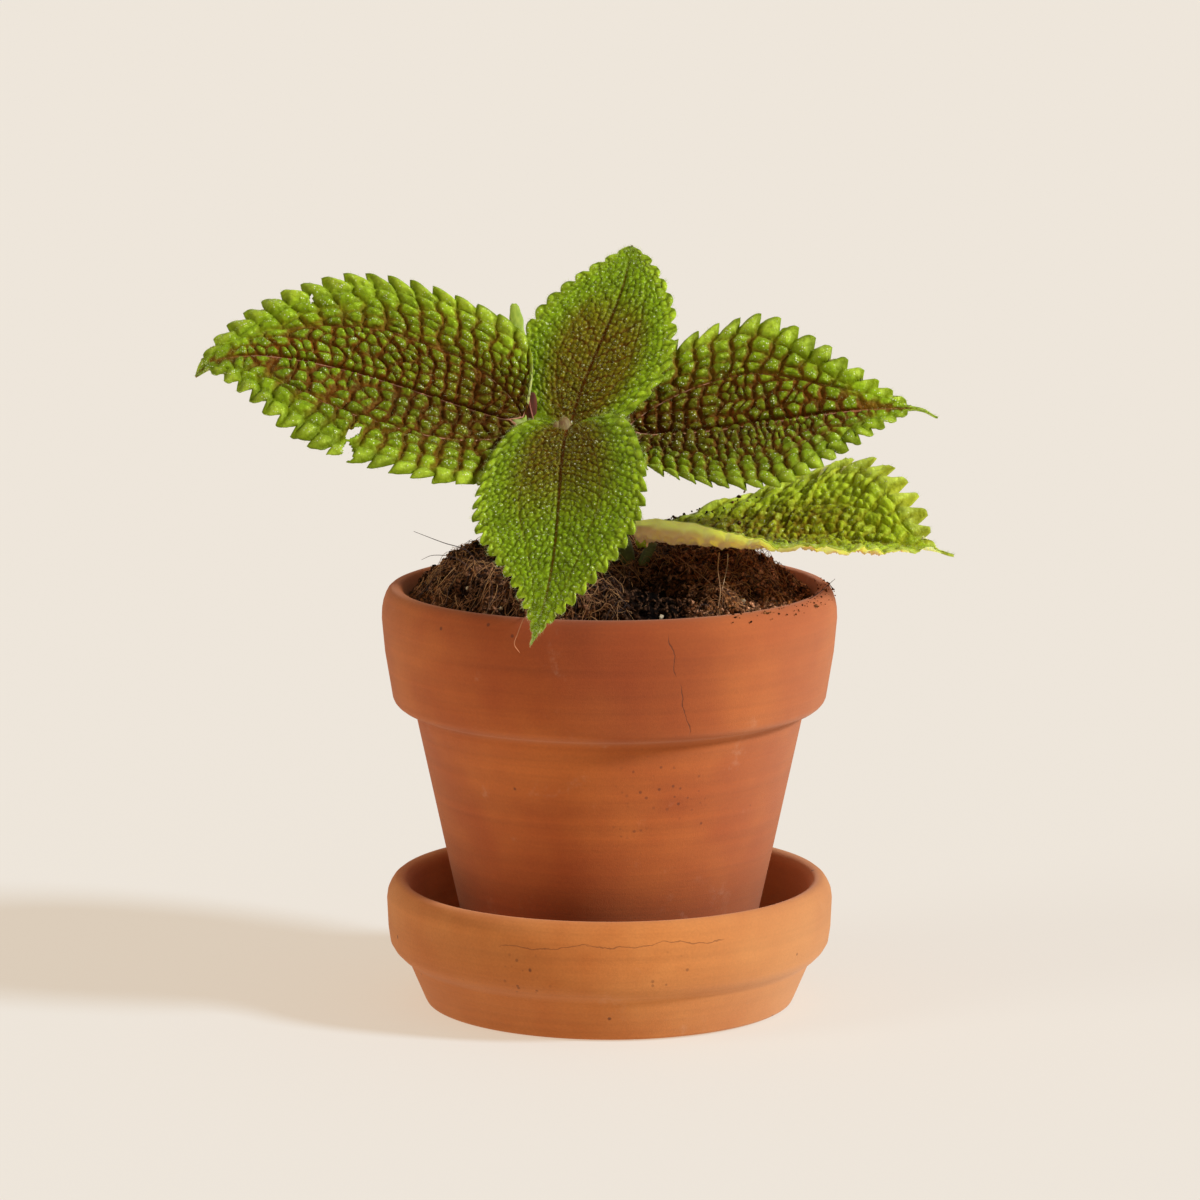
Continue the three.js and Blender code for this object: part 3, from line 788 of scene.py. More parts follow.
def makeStrayCrumbs():
    x, y = np.array(chips["spots"], float).T
    scatterCrumbs("pale_chips", np.stack([x, y, crumbled(x, y) + 0.3], 1), chips["sizes"], 61,
                  plainFibre("wood chip, pale", "#d2bb94", 0.8))
    n = np.arange(rimDust["count"])
    angle = np.radians(mix(*rimDust["heading"], hashed(n, 81)))
    r = mix(*rimDust["ring"], hashed(n, 82) ** 0.6)
    drop = rimDust["fall"] * (r - rimDust["crown"]) ** 2
    rim = np.stack([r * np.cos(angle), r * np.sin(angle), pot["rimHeight"] - drop + 0.05], 1)
    scatterCrumbs("rim_crumbs", rim, rimDust["sizes"], 85,
                  pottingMix("rim crumbs", "#2b160a", "#6d4323", "#96683f"))


makeSoil()
makeCrumbs()
makeFibres()
makeStrands()
makeStrayCrumbs()


# what several blades share; lengths are in millimetres, and the notes stand by the first blade
everyLeaf = {
    "droop": 0,
    "curl": (0.5, 0.5), "rollAt": (0, 1), "rollBy": (0, 0),
    "tail": (2, 1),
    "lobeShape": 1.0, "lobeAt": 0.07,
    "crowd": (0.2, 0.2), "toothFrom": 2, "toothRamp": 2.5, "toothCell": 0.8, "wave": (0.25, 0.25),
    "ruffle": (0, 0),
    "grow": 0.5, "swell": 1.9, "splitShare": 0.5, "slant": 0.3, "rowDip": 1.0, "cellDip": 0.85,
    "sideDip": 0.7, "trough": 0.5, "lumps": 0.2, "crumple": 0.25,
    "kind": "old", "cellDark": 0.62, "shade": (0, 0), "knobby": (1, 1),
    "rows": 240, "acrossSteps": 66, "hairs": 1500,
}

# each blade repeats the shape of its solid and says what is its own
leaves = {
    "leaf_left": {
        # the curve of the midrib, from the stalk to the tip, and how far the tip droops
        "base": (-23.4, -14, 141.3), "tip": (-96.6, -14.1, 152.9), "rise1": (5.8, -2.6, 1.1),
        "rise2": (-8.8, 0, 15.5), "droop": 1.5,
        # which way it faces and how its halves fold, curl and roll, left half first
        "face1": (0, -0.82, 0.58), "face2": (0, -0.64, 0.77), "fold1": (11, 10.5), "fold2": (3, -1.3),
        "curl": (0.5, 1.5),
        # half widths, the widest place, how square it starts, how full and pointed it ends
        "width": (26.2, 27.4), "widest": 0.39, "square": (2.6, 3), "full": 1.42, "taper": 1.2,
        "sweep": 7,
        # lobes beside the foot: how long, their shape, how far along
        "lobe": (6.3, 6.6), "lobeShape": 0.4, "lobeAt": 0.036, "foot": (2, 4.5),
        # teeth and waves of the margin
        "teeth": (20, 20), "crowd": (0.06, 0.04), "toothDepth": (2.8, 2.6), "toothFrom": 1.5,
        "toothRamp": 7, "lean": (1.4, 1.5), "round": (0.05, 0.03),
        # size and height of the swellings, and the valleys between them
        "bump": (2.9, 2.4),
        # where its brown, its stain and its heart end, and how much painted shade darkens each half
        "brownTo": (0.75, 1.0), "stain": (0.2, 0.7), "heartTo": 0.62, "shade": (-0.28, 0),
    },
    "leaf_right": {
        "base": (5.7, -14, 138.2), "tip": (77, -11.1, 143.1), "rise1": (1.2, 2, -2.2),
        "rise2": (-1.8, -6, 5.2), "droop": 1.6,
        "face1": (0, -0.7, 0.71), "face2": (0, -0.75, 0.66), "fold1": (15.3, 18.5), "fold2": (14.1, 15),
        "width": (27, 25.3), "widest": 0.37, "square": (2.3, 1.8), "full": 1.35, "taper": 1.7,
        "tail": (0.85, 0.36), "sweep": 5.1,
        "lobe": (6, 7), "lobeShape": 0.75, "lobeAt": 0.042, "foot": (3, 3),
        "teeth": (20, 24), "crowd": (0.16, 0), "toothDepth": (2.8, 2.5), "toothFrom": 1.0,
        "toothRamp": 3, "lean": (1.5, 1.1), "round": (0.05, 0.12),
        "bump": (2.9, 2.3),
        "brownTo": (0.72, 1.0), "stain": (0.35, 0.85), "heartTo": 0.8, "shade": (0, -0.45),
        "knobby": (1, 0.45),
    },
    "leaf_back": {
        "base": (-8.8, -13.2, 141.2), "tip": (4.9, 12.8, 179.4), "rise1": (-1.1, -0.1, 0.5),
        "rise2": (4.2, 1.4, 0.8),
        "face1": (-0.14, -0.79, 0.6), "face2": (-0.08, -0.81, 0.58), "fold1": (3.3, 7.2),
        "fold2": (3.5, 4.7),
        "width": (18.2, 18.7), "widest": 0.33, "square": (1.7, 1.8), "full": 1.53, "taper": 0.8,
        "sweep": 2.5,
        "lobe": (4.4, 4.6), "lobeAt": 0.055, "foot": (1.4, 1.4),
        "teeth": (14, 14), "toothDepth": (1.1, 1.1), "toothCell": 0.5, "lean": (0.25, 0.25),
        "round": (0.35, 0.35), "wave": (0.2, 0.2),
        "bump": (1.3, 1.3), "grow": 0, "swell": 0.9, "splitShare": 0.4, "slant": 3.0, "rowDip": 0.8,
        "cellDip": 0.7, "sideDip": 0.35, "trough": 0.42, "lumps": 0.12, "crumple": 0.1,
        "kind": "young", "cellDark": 0.5, "brownTo": (0.45, 0.8), "stain": (0.2, 0.6), "heartTo": 0.75,
        "rows": 210, "acrossSteps": 64, "hairs": 2300,
    },
    "leaf_front": {
        "base": (-9.9, -21, 139.9), "tip": (-17.9, -59.4, 95.9), "rise1": (-0.2, -4.3, 5.5),
        "rise2": (5.1, -6.9, 4),
        "face1": (-0.22, -0.7, 0.68), "face2": (-0.19, -0.72, 0.67), "fold1": (7.6, 5.5),
        "fold2": (3.3, 2.4), "curl": (0.3, 0.3),
        "width": (21.3, 19.9), "widest": 0.35, "square": (1.9, 1.9), "full": 1.49, "taper": 1.53,
        "sweep": 5.8,
        "lobe": (6.8, 6.4), "foot": (1.5, 1.2),
        "teeth": (22, 22), "toothDepth": (1.6, 1.6), "toothFrom": 6.5, "toothCell": 0.5,
        "lean": (0.8, 0.8), "round": (0.1, 0.1), "wave": (0.15, 0.15),
        "bump": (1.35, 1.35), "grow": 0, "swell": 0.95, "splitShare": 0.4, "slant": 3.5, "rowDip": 0.85,
        "cellDip": 0.75, "sideDip": 0.35, "trough": 0.45, "lumps": 0.12, "crumple": 0.1,
        "kind": "young", "cellDark": 0.5, "brownTo": (0.1, 0.55), "stain": (0.05, 0.4), "heartTo": 0.6,
        "shade": (-0.2, 0),
        "rows": 264, "acrossSteps": 64, "hairs": 2800,
    },
    "leaf_lower": {
        "base": (9.4, -4, 112.2), "tip": (81.3, -9, 108.6), "rise1": (2, 2.5, -1.4),
        "rise2": (-1, -1, 5.4),
        "face1": (0, 0.03, 1), "face2": (0, -0.2, 0.98), "fold1": (9, 6), "fold2": (48, 9),
        "curl": (0, -2.6), "rollAt": (0.08, 0.15, 0.22, 0.3, 0.5, 0.9, 1),
        "rollBy": (114, 84, 56, 20, 18, 22, 0),
        "width": (25.5, 25), "widest": 0.46, "square": (2, 2.6), "full": 3, "taper": 3.5,
        "tail": (0.93, 0.35), "sweep": 8.5,
        "lobe": (1, 9), "lobeShape": 0.6, "foot": (0, 0),
        "teeth": (17, 17), "toothDepth": (3.8, 0.9), "lean": (3.6, 0.2), "round": (0.08, 0.1),
        "wave": (0.3, 3.2), "ruffle": (0.2, 0.6),
        "bump": (2.5, 2.4), "grow": 0.2, "swell": 1.5, "slant": 1.0, "cellDip": 0.8, "sideDip": 0.6,
        "trough": 0.6, "lumps": 0.25, "crumple": 0.8,
        "kind": "pale", "cellDark": 0.6, "brownTo": (0.45, 0.9), "stain": (0.3, 0.8), "heartTo": 0.5,
        "knobby": (0.7, 0.5),
        "rows": 204, "acrossSteps": 62, "hairs": 2000,
    },
}
leaves = {name: {**everyLeaf, **own} for name, own in leaves.items()}

bladeRules = {
    "thickness": 0.3,
    "firstRow": 0.004,
    "lastRow": 0.996,
    "minHalf": 0.4,
    "marginSteps": 500,
    "rollSteps": 8,          # a rolled half is summed in this many steps,
    "rollFrom": 0.62,        # and rolls between these shares of its width
    "rollTo": 0.97,
    "ridge": (0.16, 0.22),   # height and half width of the thread in the midrib's trough
}


def ofHalf(leaf, key, side):
    # each place's own value, where the left and the right half differ
    return np.array(leaf[key])[side]


def outline(leaf, u, side):
    u = np.asarray(u, float)
    square = ofHalf(leaf, "square", side)
    widest = leaf["widest"]
    before = np.clip(1 - np.clip((widest - u) / widest, 0, 1) ** square, 0, 1) ** (1 / square)
    t = np.clip((u - widest) / (1 - widest), 0, 1)
    after = np.clip(1 - t ** leaf["full"], 0, 1) ** leaf["taper"]
    return np.where(u < widest, before, after)


def bladePoints(leaf, u, v, cut, lift, lean):
    # places on the blade at u along and v across; see the solid for the same rule
    base, tip = np.array(leaf["base"], float), np.array(leaf["tip"], float)
    first = base + (tip - base) / 3 + np.array(leaf["rise1"])
    second = base + (tip - base) * 2 / 3 + np.array(leaf["rise2"])
    length = np.linalg.norm(tip - base)
    a = np.abs(v)
    side = (v >= 0).astype(int)
    tail = 1 - (1 - leaf["tail"][1]) * smooth(leaf["tail"][0], leaf["tail"][0] + 0.065, u)
    least = bladeRules["minHalf"] * (1 - 0.6 * smooth(0.93, 1, u))
    half = np.maximum(ofHalf(leaf, "width", side) * outline(leaf, u, side) * tail - cut, least)
    x = u / leaf["lobeAt"]
    back = ofHalf(leaf, "lobe", side) * x * np.exp(1 - x) * a ** leaf["lobeShape"]
    back = back + ofHalf(leaf, "foot", side) * np.exp(-u / 0.03) * smooth(0, 0.15, a)
    ahead = leaf["sweep"] * smooth(0.05, 0.45, u) * np.minimum((1 - u) / 0.55, 1) * a ** 1.3
    t = (u + (ahead - back + lean) / length)[:, None]
    s = 1 - t
    spot = s ** 3 * base + 3 * s * s * t * first + 3 * s * t * t * second + t ** 3 * tip
    way = unit(s * s * (first - base) + 2 * s * t * (second - first) + t * t * (tip - second))
    held = np.clip(t, 0, 1)
    face1, face2 = unit(np.array(leaf["face1"], float)), unit(np.array(leaf["face2"], float))
    across = unit(np.cross(way, mix(face1, face2, held)))
    up = np.cross(across, way)
    fold = np.radians(mix(ofHalf(leaf, "fold1", side), ofHalf(leaf, "fold2", side), held[:, 0]))
    curl = ofHalf(leaf, "curl", side) * (1 - smooth(0.01, 0.07, u)) * smooth(0.05, 0.5, a)
    sign = np.where(v < 0, -1, 1)
    # the outer part of the near half may roll up or down: its section is summed in short steps
    roll = np.radians(np.interp(u, leaf["rollAt"], leaf["rollBy"])) * (v > 0)
    start, end, steps = bladeRules["rollFrom"], bladeRules["rollTo"], bladeRules["rollSteps"]
    level, steep = 0, 0
    for k in range(steps):
        slope = fold + roll * smooth(start, end, a * (k + 0.5) / steps)
        level = level + np.cos(slope) / steps
        steep = steep + np.sin(slope) / steps
    slope = fold + roll * smooth(start, end, a)
    out = v * half * level - sign * (lift + curl) * np.sin(slope)
    rise = a * half * steep + (lift + curl) * np.cos(slope)
    spot[:, 2] -= leaf["droop"] * smooth(0.92, 1, u) ** 1.5
    return spot + across * out[:, None] + up * rise[:, None]


def marginRows(leaf):
    # where each row of bumps starts and ends: even teeth round the margin, or a little closer at the tip
    count = bladeRules["marginSteps"]
    u = np.linspace(bladeRules["firstRow"], bladeRules["lastRow"], count)
    share = np.linspace(0, 1, count)
    rows = []
    for v, crowd in zip((-1.0, 1.0), leaf["crowd"]):
        edge = bladePoints(leaf, u, np.full(count, v), 0, 0, 0)
        steps = np.linalg.norm(np.diff(edge, axis=0), axis=1)
        arc = np.concatenate([[0], np.cumsum(steps)])
        rows.append(np.interp(share * (1 + crowd * (1 - share)), arc / arc[-1], u))
    return share, rows


def toothCut(phase, tipAt, swollen):
    # 1 at a notch; a rounded back and a steep front, so that the tooth points ahead
    q = phase - np.floor(phase)
    back = np.clip((tipAt - q) / tipAt, 0, 1) ** 2.3 - swollen * np.sin(np.pi * np.clip(q / tipAt, 0, 1))
    front = np.clip((q - tipAt) / (1 - tipAt), 0, 1) ** 1.2
    return np.where(q < tipAt, back, front)


def lateralLine(u):
    # how far out the side main vein runs, as a share of the half width
    return 0.47 * (1 - np.exp(-(u + 0.012) / 0.085)) + 0.10 * smooth(0.6, 1, u)


def quilting(leaf, seed, phase, u, v, half, pitch):
    # rows of bumps between the side veins: height in mm, then masks for valleys and a tone for each bump
    side = (v >= 0).astype(int)
    a = np.abs(v)
    lateral = lateralLine(u)
    wobble = 0.22 * valueNoise(a * half / 3.1, side * 9.0, phase * 0.8, seed) * (1 - a ** 3)
    slant = leaf["slant"] * (1 - a)  # young rows run steeply forward
    step = 0.5 * (1 - smooth(-0.015, 0.015, a - lateral)) * leaf["sideDip"]
    p = phase + wobble + slant + step
    row = np.floor(p)
    q = p - row
    near = np.full(len(u), 99.0)
    second = np.full(len(u), 99.0)
    owner = np.zeros(len(u))
    ownerRow = np.zeros(len(u))
    secondRow = np.zeros(len(u))
    size = ofHalf(leaf, "bump", side)
    for rowOffset in (-1, 0, 1):
        line = row + rowOffset
        middle = (line + 0.5 - leaf["slant"] * 0.5) / ofHalf(leaf, "teeth", side)
        rim0 = np.interp(middle, leaf["rowShare"], leaf["rowHalf"][0])
        rim1 = np.interp(middle, leaf["rowShare"], leaf["rowHalf"][1])
        tipward = smooth(0.3, 0.85, middle)
        tall = size * (1 + 0.7 * leaf["grow"] * tipward)
        cells = np.maximum(np.round(np.where(side == 1, rim1, rim0) / tall), 1)
        total = cells + leaf["toothCell"]
        here = np.minimum(np.floor(a * total), cells - 1)
        key = line * 31 + side * 7.3 + seed
        for offset in (-1, 0, 1):
            cell = here + offset
            last = cell == cells - 1
            grown = size * (1 + leaf["grow"] * smooth(0.5, 0.85, cell / total + 0.6 * tipward))
            share = np.maximum(np.round(pitch / grown), 1)
            roomy = (hashed(key, cell, 5) < leaf["splitShare"]) & (pitch > 0.66 * grown * (share + 1))
            count = np.where(roomy, share + 1, share)
            count = np.where(last, 1, count)
            middle = np.where(last, (cells - 1 + total) / 2, cell + 0.5)
            for part in range(4):
                centreQ = (part + 0.5 + 0.4 * (hashed(key, cell, part) - 0.5)) / count
                aCentre = (middle + 0.55 * (hashed(key, cell, part + 10) - 0.5)) / total
                phaseAway = (q - centreQ - rowOffset) - leaf["slant"] * (aCentre - a)
                away = np.hypot(phaseAway * pitch, (a - aCentre) * half)
                away = np.where((part >= count) | (cell < 0) | (cell >= cells), 98.0, away)
                closer = away < near
                later = ~closer & (away < second)
                secondRow = np.where(closer, ownerRow, np.where(later, line, secondRow))
                second = np.where(closer, near, np.where(later, away, second))
                owner = np.where(closer, key * 3.1 + cell * 13.7 + part * 5.9, owner)
                ownerRow = np.where(closer, line, ownerRow)
                near = np.where(closer, away, near)
    gap = np.minimum((second - near) / 2, 3 * size)
    sameRow = ownerRow == secondRow
    depth = np.where(sameRow, leaf["cellDip"], leaf["rowDip"])
    outward = near / (near + gap + 1e-6)     # 0 on top of a bump, 1 where it meets the next
    dome = np.clip(1 - outward ** 2.3, 0, 1) ** 0.7
    tall = 0.82 + 0.36 * hashed(owner, seed, 8)
    edge = smooth(0, 0.5 * size, (1 - a) * half)
    height = (1 - depth * (1 - dome)) * tall
    height = leaf["swell"] * (height * (0.5 + 0.5 * edge) - 0.45)
    lumps = leaf["lumps"] * valueNoise(a * half / 0.75, phase * pitch / 0.75, side * 5.0, seed + 3)
    lumps = lumps + leaf["crumple"] * valueNoise(a * half / 3.6, phase * pitch / 3.6, side * 5.0, seed + 4)
    valley = np.where(sameRow, leaf["cellDark"] * smooth(0.55, 1.0, outward), smooth(0.38, 0.96, outward))
    return height + lumps, valley, hashed(owner, seed)


def leafTones(leaf, u, v, valley, bumpTone):
    # two colour layers that the leaf materials read
    a = np.abs(v)
    side = (v >= 0).astype(int)
    reach = {"old": 0.92, "young": 0.78, "pale": 0.7}[leaf["kind"]]
    tipward = smooth(0.5, 1.0, u)
    centre = (1 - smooth(reach * 0.42, reach, a + 0.45 * tipward)) * (1 - smooth(*leaf["brownTo"], u))
    stain = 0
    if leaf["kind"] == "old":
        stain = 0.85 * (1 - smooth(0.76, 1.0, a + 0.55 * smooth(*leaf["stain"], u)))
    rim = smooth(0.72, 0.96, a + 0.3 * smooth(0.65, 1.0, u))
    baseward = 1 - smooth(0.02, leaf["heartTo"], u)
    heart = (1 - smooth(0.15, 0.9, a)) * baseward
    valley = np.clip(valley * (0.8 + 0.6 * centre), 0, 1)
    # painted shade: one half of some blades drawn darker
    bumpTone = bumpTone + ofHalf(leaf, "shade", side)
    knobby = 1 - smooth(0.5, 0.95, a + 0.45 * smooth(0.4, 0.95, u))
    knobby = ofHalf(leaf, "knobby", side) * (0.45 + 0.55 * knobby)
    return (valley, centre, rim, knobby), (bumpTone, heart, tipward, np.maximum(stain, centre))


tears = {
    # bitten places: middle (x, z), half lengths and tilt of each oval, as seen from the front
    "leaf_left": [
        ((-59.0, 140.4), (2.3, 0.9), 26),
        ((-60.2, 136.3), (1.2, 1.9), 12),
        ((-69.9, 168.4), (0.4, 1.0), 10),
    ],
}


def cutTears(mesh, holes):
    # selects the faces inside each oval and deletes them
    middles = vectorsOf(mesh.polygons, "center") / mm
    inside = np.zeros(len(middles), bool)
    for (x, z), (long, short), tilt in holes:
        c, s = math.cos(math.radians(tilt)), math.sin(math.radians(tilt))
        along = (middles[:, 0] - x) * c + (middles[:, 2] - z) * s
        aside = (middles[:, 2] - z) * c - (middles[:, 0] - x) * s
        inside |= (along / long) ** 2 + (aside / short) ** 2 < 1
    bpy.ops.object.mode_set(mode="EDIT")
    bpy.ops.mesh.select_mode(type="FACE")
    bpy.ops.mesh.select_all(action="DESELECT")
    bpy.ops.object.mode_set(mode="OBJECT")
    mesh.polygons.foreach_set("select", inside)
    bpy.ops.object.mode_set(mode="EDIT")
    bpy.ops.mesh.delete(type="FACE")
    bpy.ops.mesh.select_mode(type="VERT")
    bpy.ops.object.mode_set(mode="OBJECT")


def makeBlade(name, seed):
    leaf = leaves[name]
    rowShare, rowU = marginRows(leaf)
    leaf["rowShare"] = rowShare
    leaf["rowHalf"] = [leaf["width"][k] * outline(leaf, rowU[k], k) for k in (0, 1)]
    piece = addShape(bpy.ops.mesh.primitive_grid_add, name.replace("leaf", "blade"), size=2,
                     x_subdivisions=2 * leaf["acrossSteps"], y_subdivisions=leaf["rows"])
    mesh = piece.data
    co = vectorsOf(mesh.vertices, "co").astype(float)
    v = co[:, 0] * (0.78 + 0.22 * np.abs(co[:, 0]))
    a = np.abs(v)
    side = (v >= 0).astype(int)
    share = (co[:, 1] + 1) / 2
    teeth = ofHalf(leaf, "teeth", side)
    phase = teeth * share
    sideU = np.where(side == 1, np.interp(share, rowShare, rowU[1]), np.interp(share, rowShare, rowU[0]))
    midU = (np.interp(share, rowShare, rowU[0]) + np.interp(share, rowShare, rowU[1])) / 2
    u = mix(midU, sideU, a)
    wide = outline(leaf, u, side)
    half = ofHalf(leaf, "width", side) * wide
    length = np.linalg.norm(np.array(leaf["tip"]) - np.array(leaf["base"]))
    ahead = np.interp(share + 0.5 / teeth, rowShare, (rowU[0] + rowU[1]) / 2)
    behind = np.interp(share - 0.5 / teeth, rowShare, (rowU[0] + rowU[1]) / 2)
    fan = 4.6 * a * (1 - smooth(0.05, 0.2, u))  # rows spread out like a fan round the base
    pitch = np.maximum(length * (ahead - behind), 0.8) + fan * 0.5
    tooth = np.floor(phase) + side * 57 + seed * 3
    toothy = smooth(leaf["toothFrom"], leaf["toothFrom"] + leaf["toothRamp"], phase)
    toothy = toothy * np.minimum(1, wide * 3.2)
    bite = ofHalf(leaf, "toothDepth", side) * (0.8 + 0.4 * hashed(tooth, 2)) * toothy
    cut = toothCut(phase, 1 - 2 * teeth / leaf["rows"], ofHalf(leaf, "round", side))
    outer = a ** 9 * cut * bite
    waves = valueNoise(phase * 0.55, side * 3.0, 0 * phase, seed + 6)
    outer += ofHalf(leaf, "wave", side) * a ** 6 * waves
    lean = ofHalf(leaf, "lean", side) * a ** 12 * (1 - np.clip(cut, 0, 1)) * toothy
    height, valley, bumpTone = quilting(leaf, seed, phase, u, v, half, pitch)
    toMid = v * half
    toSide = (a - lateralLine(u)) * half
    sideFade = (1 - smooth(0.62, 0.88, u)) * smooth(0, 0.03, u)
    midFade = 1 - smooth(0.85, 0.99, u)
    midTrough = np.exp(-(toMid / leaf["trough"]) ** 2) * midFade
    sideTrough = np.exp(-(toSide / (0.8 * leaf["trough"])) ** 2) * sideFade
    keep = np.minimum(1, wide * 1.6) * smooth(0, 0.02, u)
    trough = np.maximum(midTrough, leaf["sideDip"] * sideTrough)
    lift = mix(height, -0.62 * leaf["swell"], trough) * keep
    ridge, ridgeHalf = bladeRules["ridge"]
    lift += ridge * np.exp(-(toMid / ridgeHalf) ** 2) * midFade * keep
    lift += ofHalf(leaf, "ruffle", side) * a ** 4 * np.sin(2.6 * phase + seed)
    spots = bladePoints(leaf, u, v, outer, lift, lean)
    form, tone = leafTones(leaf, u, v, np.maximum(valley, trough), bumpTone)
    addLayer(mesh, "form", form)
    addLayer(mesh, "tone", tone)
    addLayer(mesh, "ribs", (toMid, toSide, sideFade, np.ones_like(u)))
    moveVerts(mesh, spots)
    normals = vectorsOf(mesh.vertex_normals, "vector")
    if np.mean(normals @ np.array(leaf["face1"])) < 0:
        editAll()
        bpy.ops.mesh.flip_normals()
        bpy.ops.object.mode_set(mode="OBJECT")
        normals = -normals
    if name in tears:
        cutTears(mesh, tears[name])
    for skin in leafSkins[leaf["kind"]]:
        mesh.materials.append(skin)
    applyModifier(piece, "SOLIDIFY", thickness=bladeRules["thickness"] * mm, offset=-1, material_offset=1,
                  material_offset_rim=0)
    bpy.ops.object.shade_smooth()
    finish(piece, None, "leaf", name)
    return spots, normals, u, v


def layerParts(tree, name):
    # the three numbers in a colour layer, then its alpha
    layer = addNode(tree, "VertexColor", {}, layer_name=name)
    return addNode(tree, "SeparateColor", {0: layer}).outputs[:3], layer.outputs["Alpha"]


def veinLine(tree, away, inner, outer):
    # a crisp line where the distance from a vein, in mm, is small
    size = addNode(tree, "Math", {0: away}, operation="ABSOLUTE")
    return marked(tree, size, inner, outer)


def leafTop(name, look):
    # living leaf with a thin waxy skin: shiny on each swelling, dull purple or green in the valleys
    material, tree, shader = startMaterial(name)
    (valley, centre, rim), knobby = layerParts(tree, "form")
    (bumpTone, heart, tipward), redness = layerParts(tree, "tone")
    (toMid, toSide, sideFade), _ = layerParts(tree, "ribs")
    spot = addNode(tree, "TexCoord", {}).outputs["Object"]
    mottle = addNode(tree, "TexNoise", {"Vector": spot, "Scale": 900.0, "Detail": 2.0})

    top, low = look["outer"], look["lowOuter"]
    for share, tone in ((centre, "inner"), (heart, "heart"), (rim, "rim")):
        top = addNode(tree, "Mix", {0: share, 6: top, 7: look[tone]}, data_type="RGBA")
    for share, tone in ((redness, "lowInner"), (heart, "lowHeart")):
        low = addNode(tree, "Mix", {0: share, 6: low, 7: look[tone]}, data_type="RGBA")
    deep = addNode(tree, "MapRange",
                   {0: valley, 1: 0.0, 2: look["valleyTo"], 3: 0.0, 4: look["valleyShare"]},
                   interpolation_type="SMOOTHSTEP")
    colour = addNode(tree, "Mix", {0: deep, 6: top, 7: low}, data_type="RGBA")
    # each bump's own tone, with the painted shade of a darker half
    spread = addNode(tree, "MapRange", {0: bumpTone, 1: -1.0, 2: 1.0, 3: 0.4, 4: 1.2})
    dapple = addNode(tree, "MapRange", {0: mottle, 1: 0.3, 2: 0.7, 3: 0.86, 4: 1.14})
    shade = addNode(tree, "Math", {0: spread, 1: dapple}, operation="MULTIPLY")
    # each bump is made of a few small knobs, with painted shade in the creases between them and a painted
    # glint on some of them
    knobs = addNode(tree, "TexVoronoi", {"Vector": spot, "Scale": look["knobScale"]})
    knobShade = addNode(tree, "MapRange", {0: knobs, 1: 0.1, 2: 0.75, 3: 1.14, 4: 0.72})
    knobShade = addNode(tree, "Mix", {0: knobby, 2: 1.0, 3: knobShade})
    shade = addNode(tree, "Math", {0: shade, 1: knobShade}, operation="MULTIPLY")
    colour = addNode(tree, "VectorMath", {0: colour, 3: shade}, operation="SCALE")
    picked = addNode(tree, "SeparateColor", {0: knobs.outputs["Color"]})
    some = addNode(tree, "MapRange", {0: picked, 1: 0.3, 2: 0.6})
    glints = addNode(tree, "TexVoronoi", {"Vector": spot, "Scale": 1900.0})
    sparse = addNode(tree, "SeparateColor", {0: glints.outputs["Color"]})
    sparse = addNode(tree, "Math", {0: sparse, 1: 0.5}, operation="GREATER_THAN")
    # painted glints: small whitish dots on some knobs
    fleck = marked(tree, glints, 0.1, 0.42)
    for share in (sparse, some, marked(tree, valley, 0.0, 0.5), look["glintShare"]):
        fleck = addNode(tree, "Math", {0: fleck, 1: share}, operation="MULTIPLY")
    colour = addNode(tree, "Mix", {0: fleck, 6: colour, 7: "#fbf7dc"}, data_type="RGBA")
    midLine = veinLine(tree, toMid, look["midLine"] * 0.45, look["midLine"])
    sideLine = veinLine(tree, toSide, look["midLine"] * 0.3, look["midLine"] * 0.8)
    for share in (sideFade, look["sideShare"]):
        sideLine = addNode(tree, "Math", {0: sideLine, 1: share}, operation="MULTIPLY")
    both = addNode(tree, "Math", {0: midLine, 1: sideLine}, operation="MAXIMUM")
    broken = addNode(tree, "MapRange", {0: mottle, 1: 0.35, 2: 0.6, 3: 0.35, 4: 1.0})
    paling = addNode(tree, "MapRange", {0: tipward, 1: 0.4, 2: 1.0, 3: look["veinShare"], 4: 0.0})
    for share in (broken, paling):
        both = addNode(tree, "Math", {0: both, 1: share}, operation="MULTIPLY")
    colour = addNode(tree, "Mix", {0: both, 6: colour, 7: look["vein"]}, data_type="RGBA")
    rough = addNode(tree, "MapRange", {0: valley, 3: look["gloss"], 4: 0.6})
    pores = addNode(tree, "TexNoise", {"Vector": spot, "Scale": 1900.0, "Detail": 3.0})
    domes = addNode(tree, "Math", {0: knobs, 1: 2.0}, operation="POWER")
    domes = addNode(tree, "Math", {0: domes, 1: knobby}, operation="MULTIPLY")
    skin = addNode(tree, "Math", {0: pores, 1: 0.55}, operation="MULTIPLY")
    skin = addNode(tree, "Math", {0: skin, 1: domes}, operation="SUBTRACT")
    bump = addNode(tree, "Bump", {"Strength": look["knobRelief"], "Distance": 0.0005, "Height": skin})
    setInputs(tree, shader, {"Base Color": colour, "Roughness": rough, "Normal": bump, "IOR": 1.45,
                             "Specular IOR Level": look["specular"], "Specular Tint": "#e6ea62",
                             "Subsurface Weight": 0.15, "Subsurface Radius": (1.0, 1.2, 0.1),
                             "Subsurface Scale": 0.001})
    return material


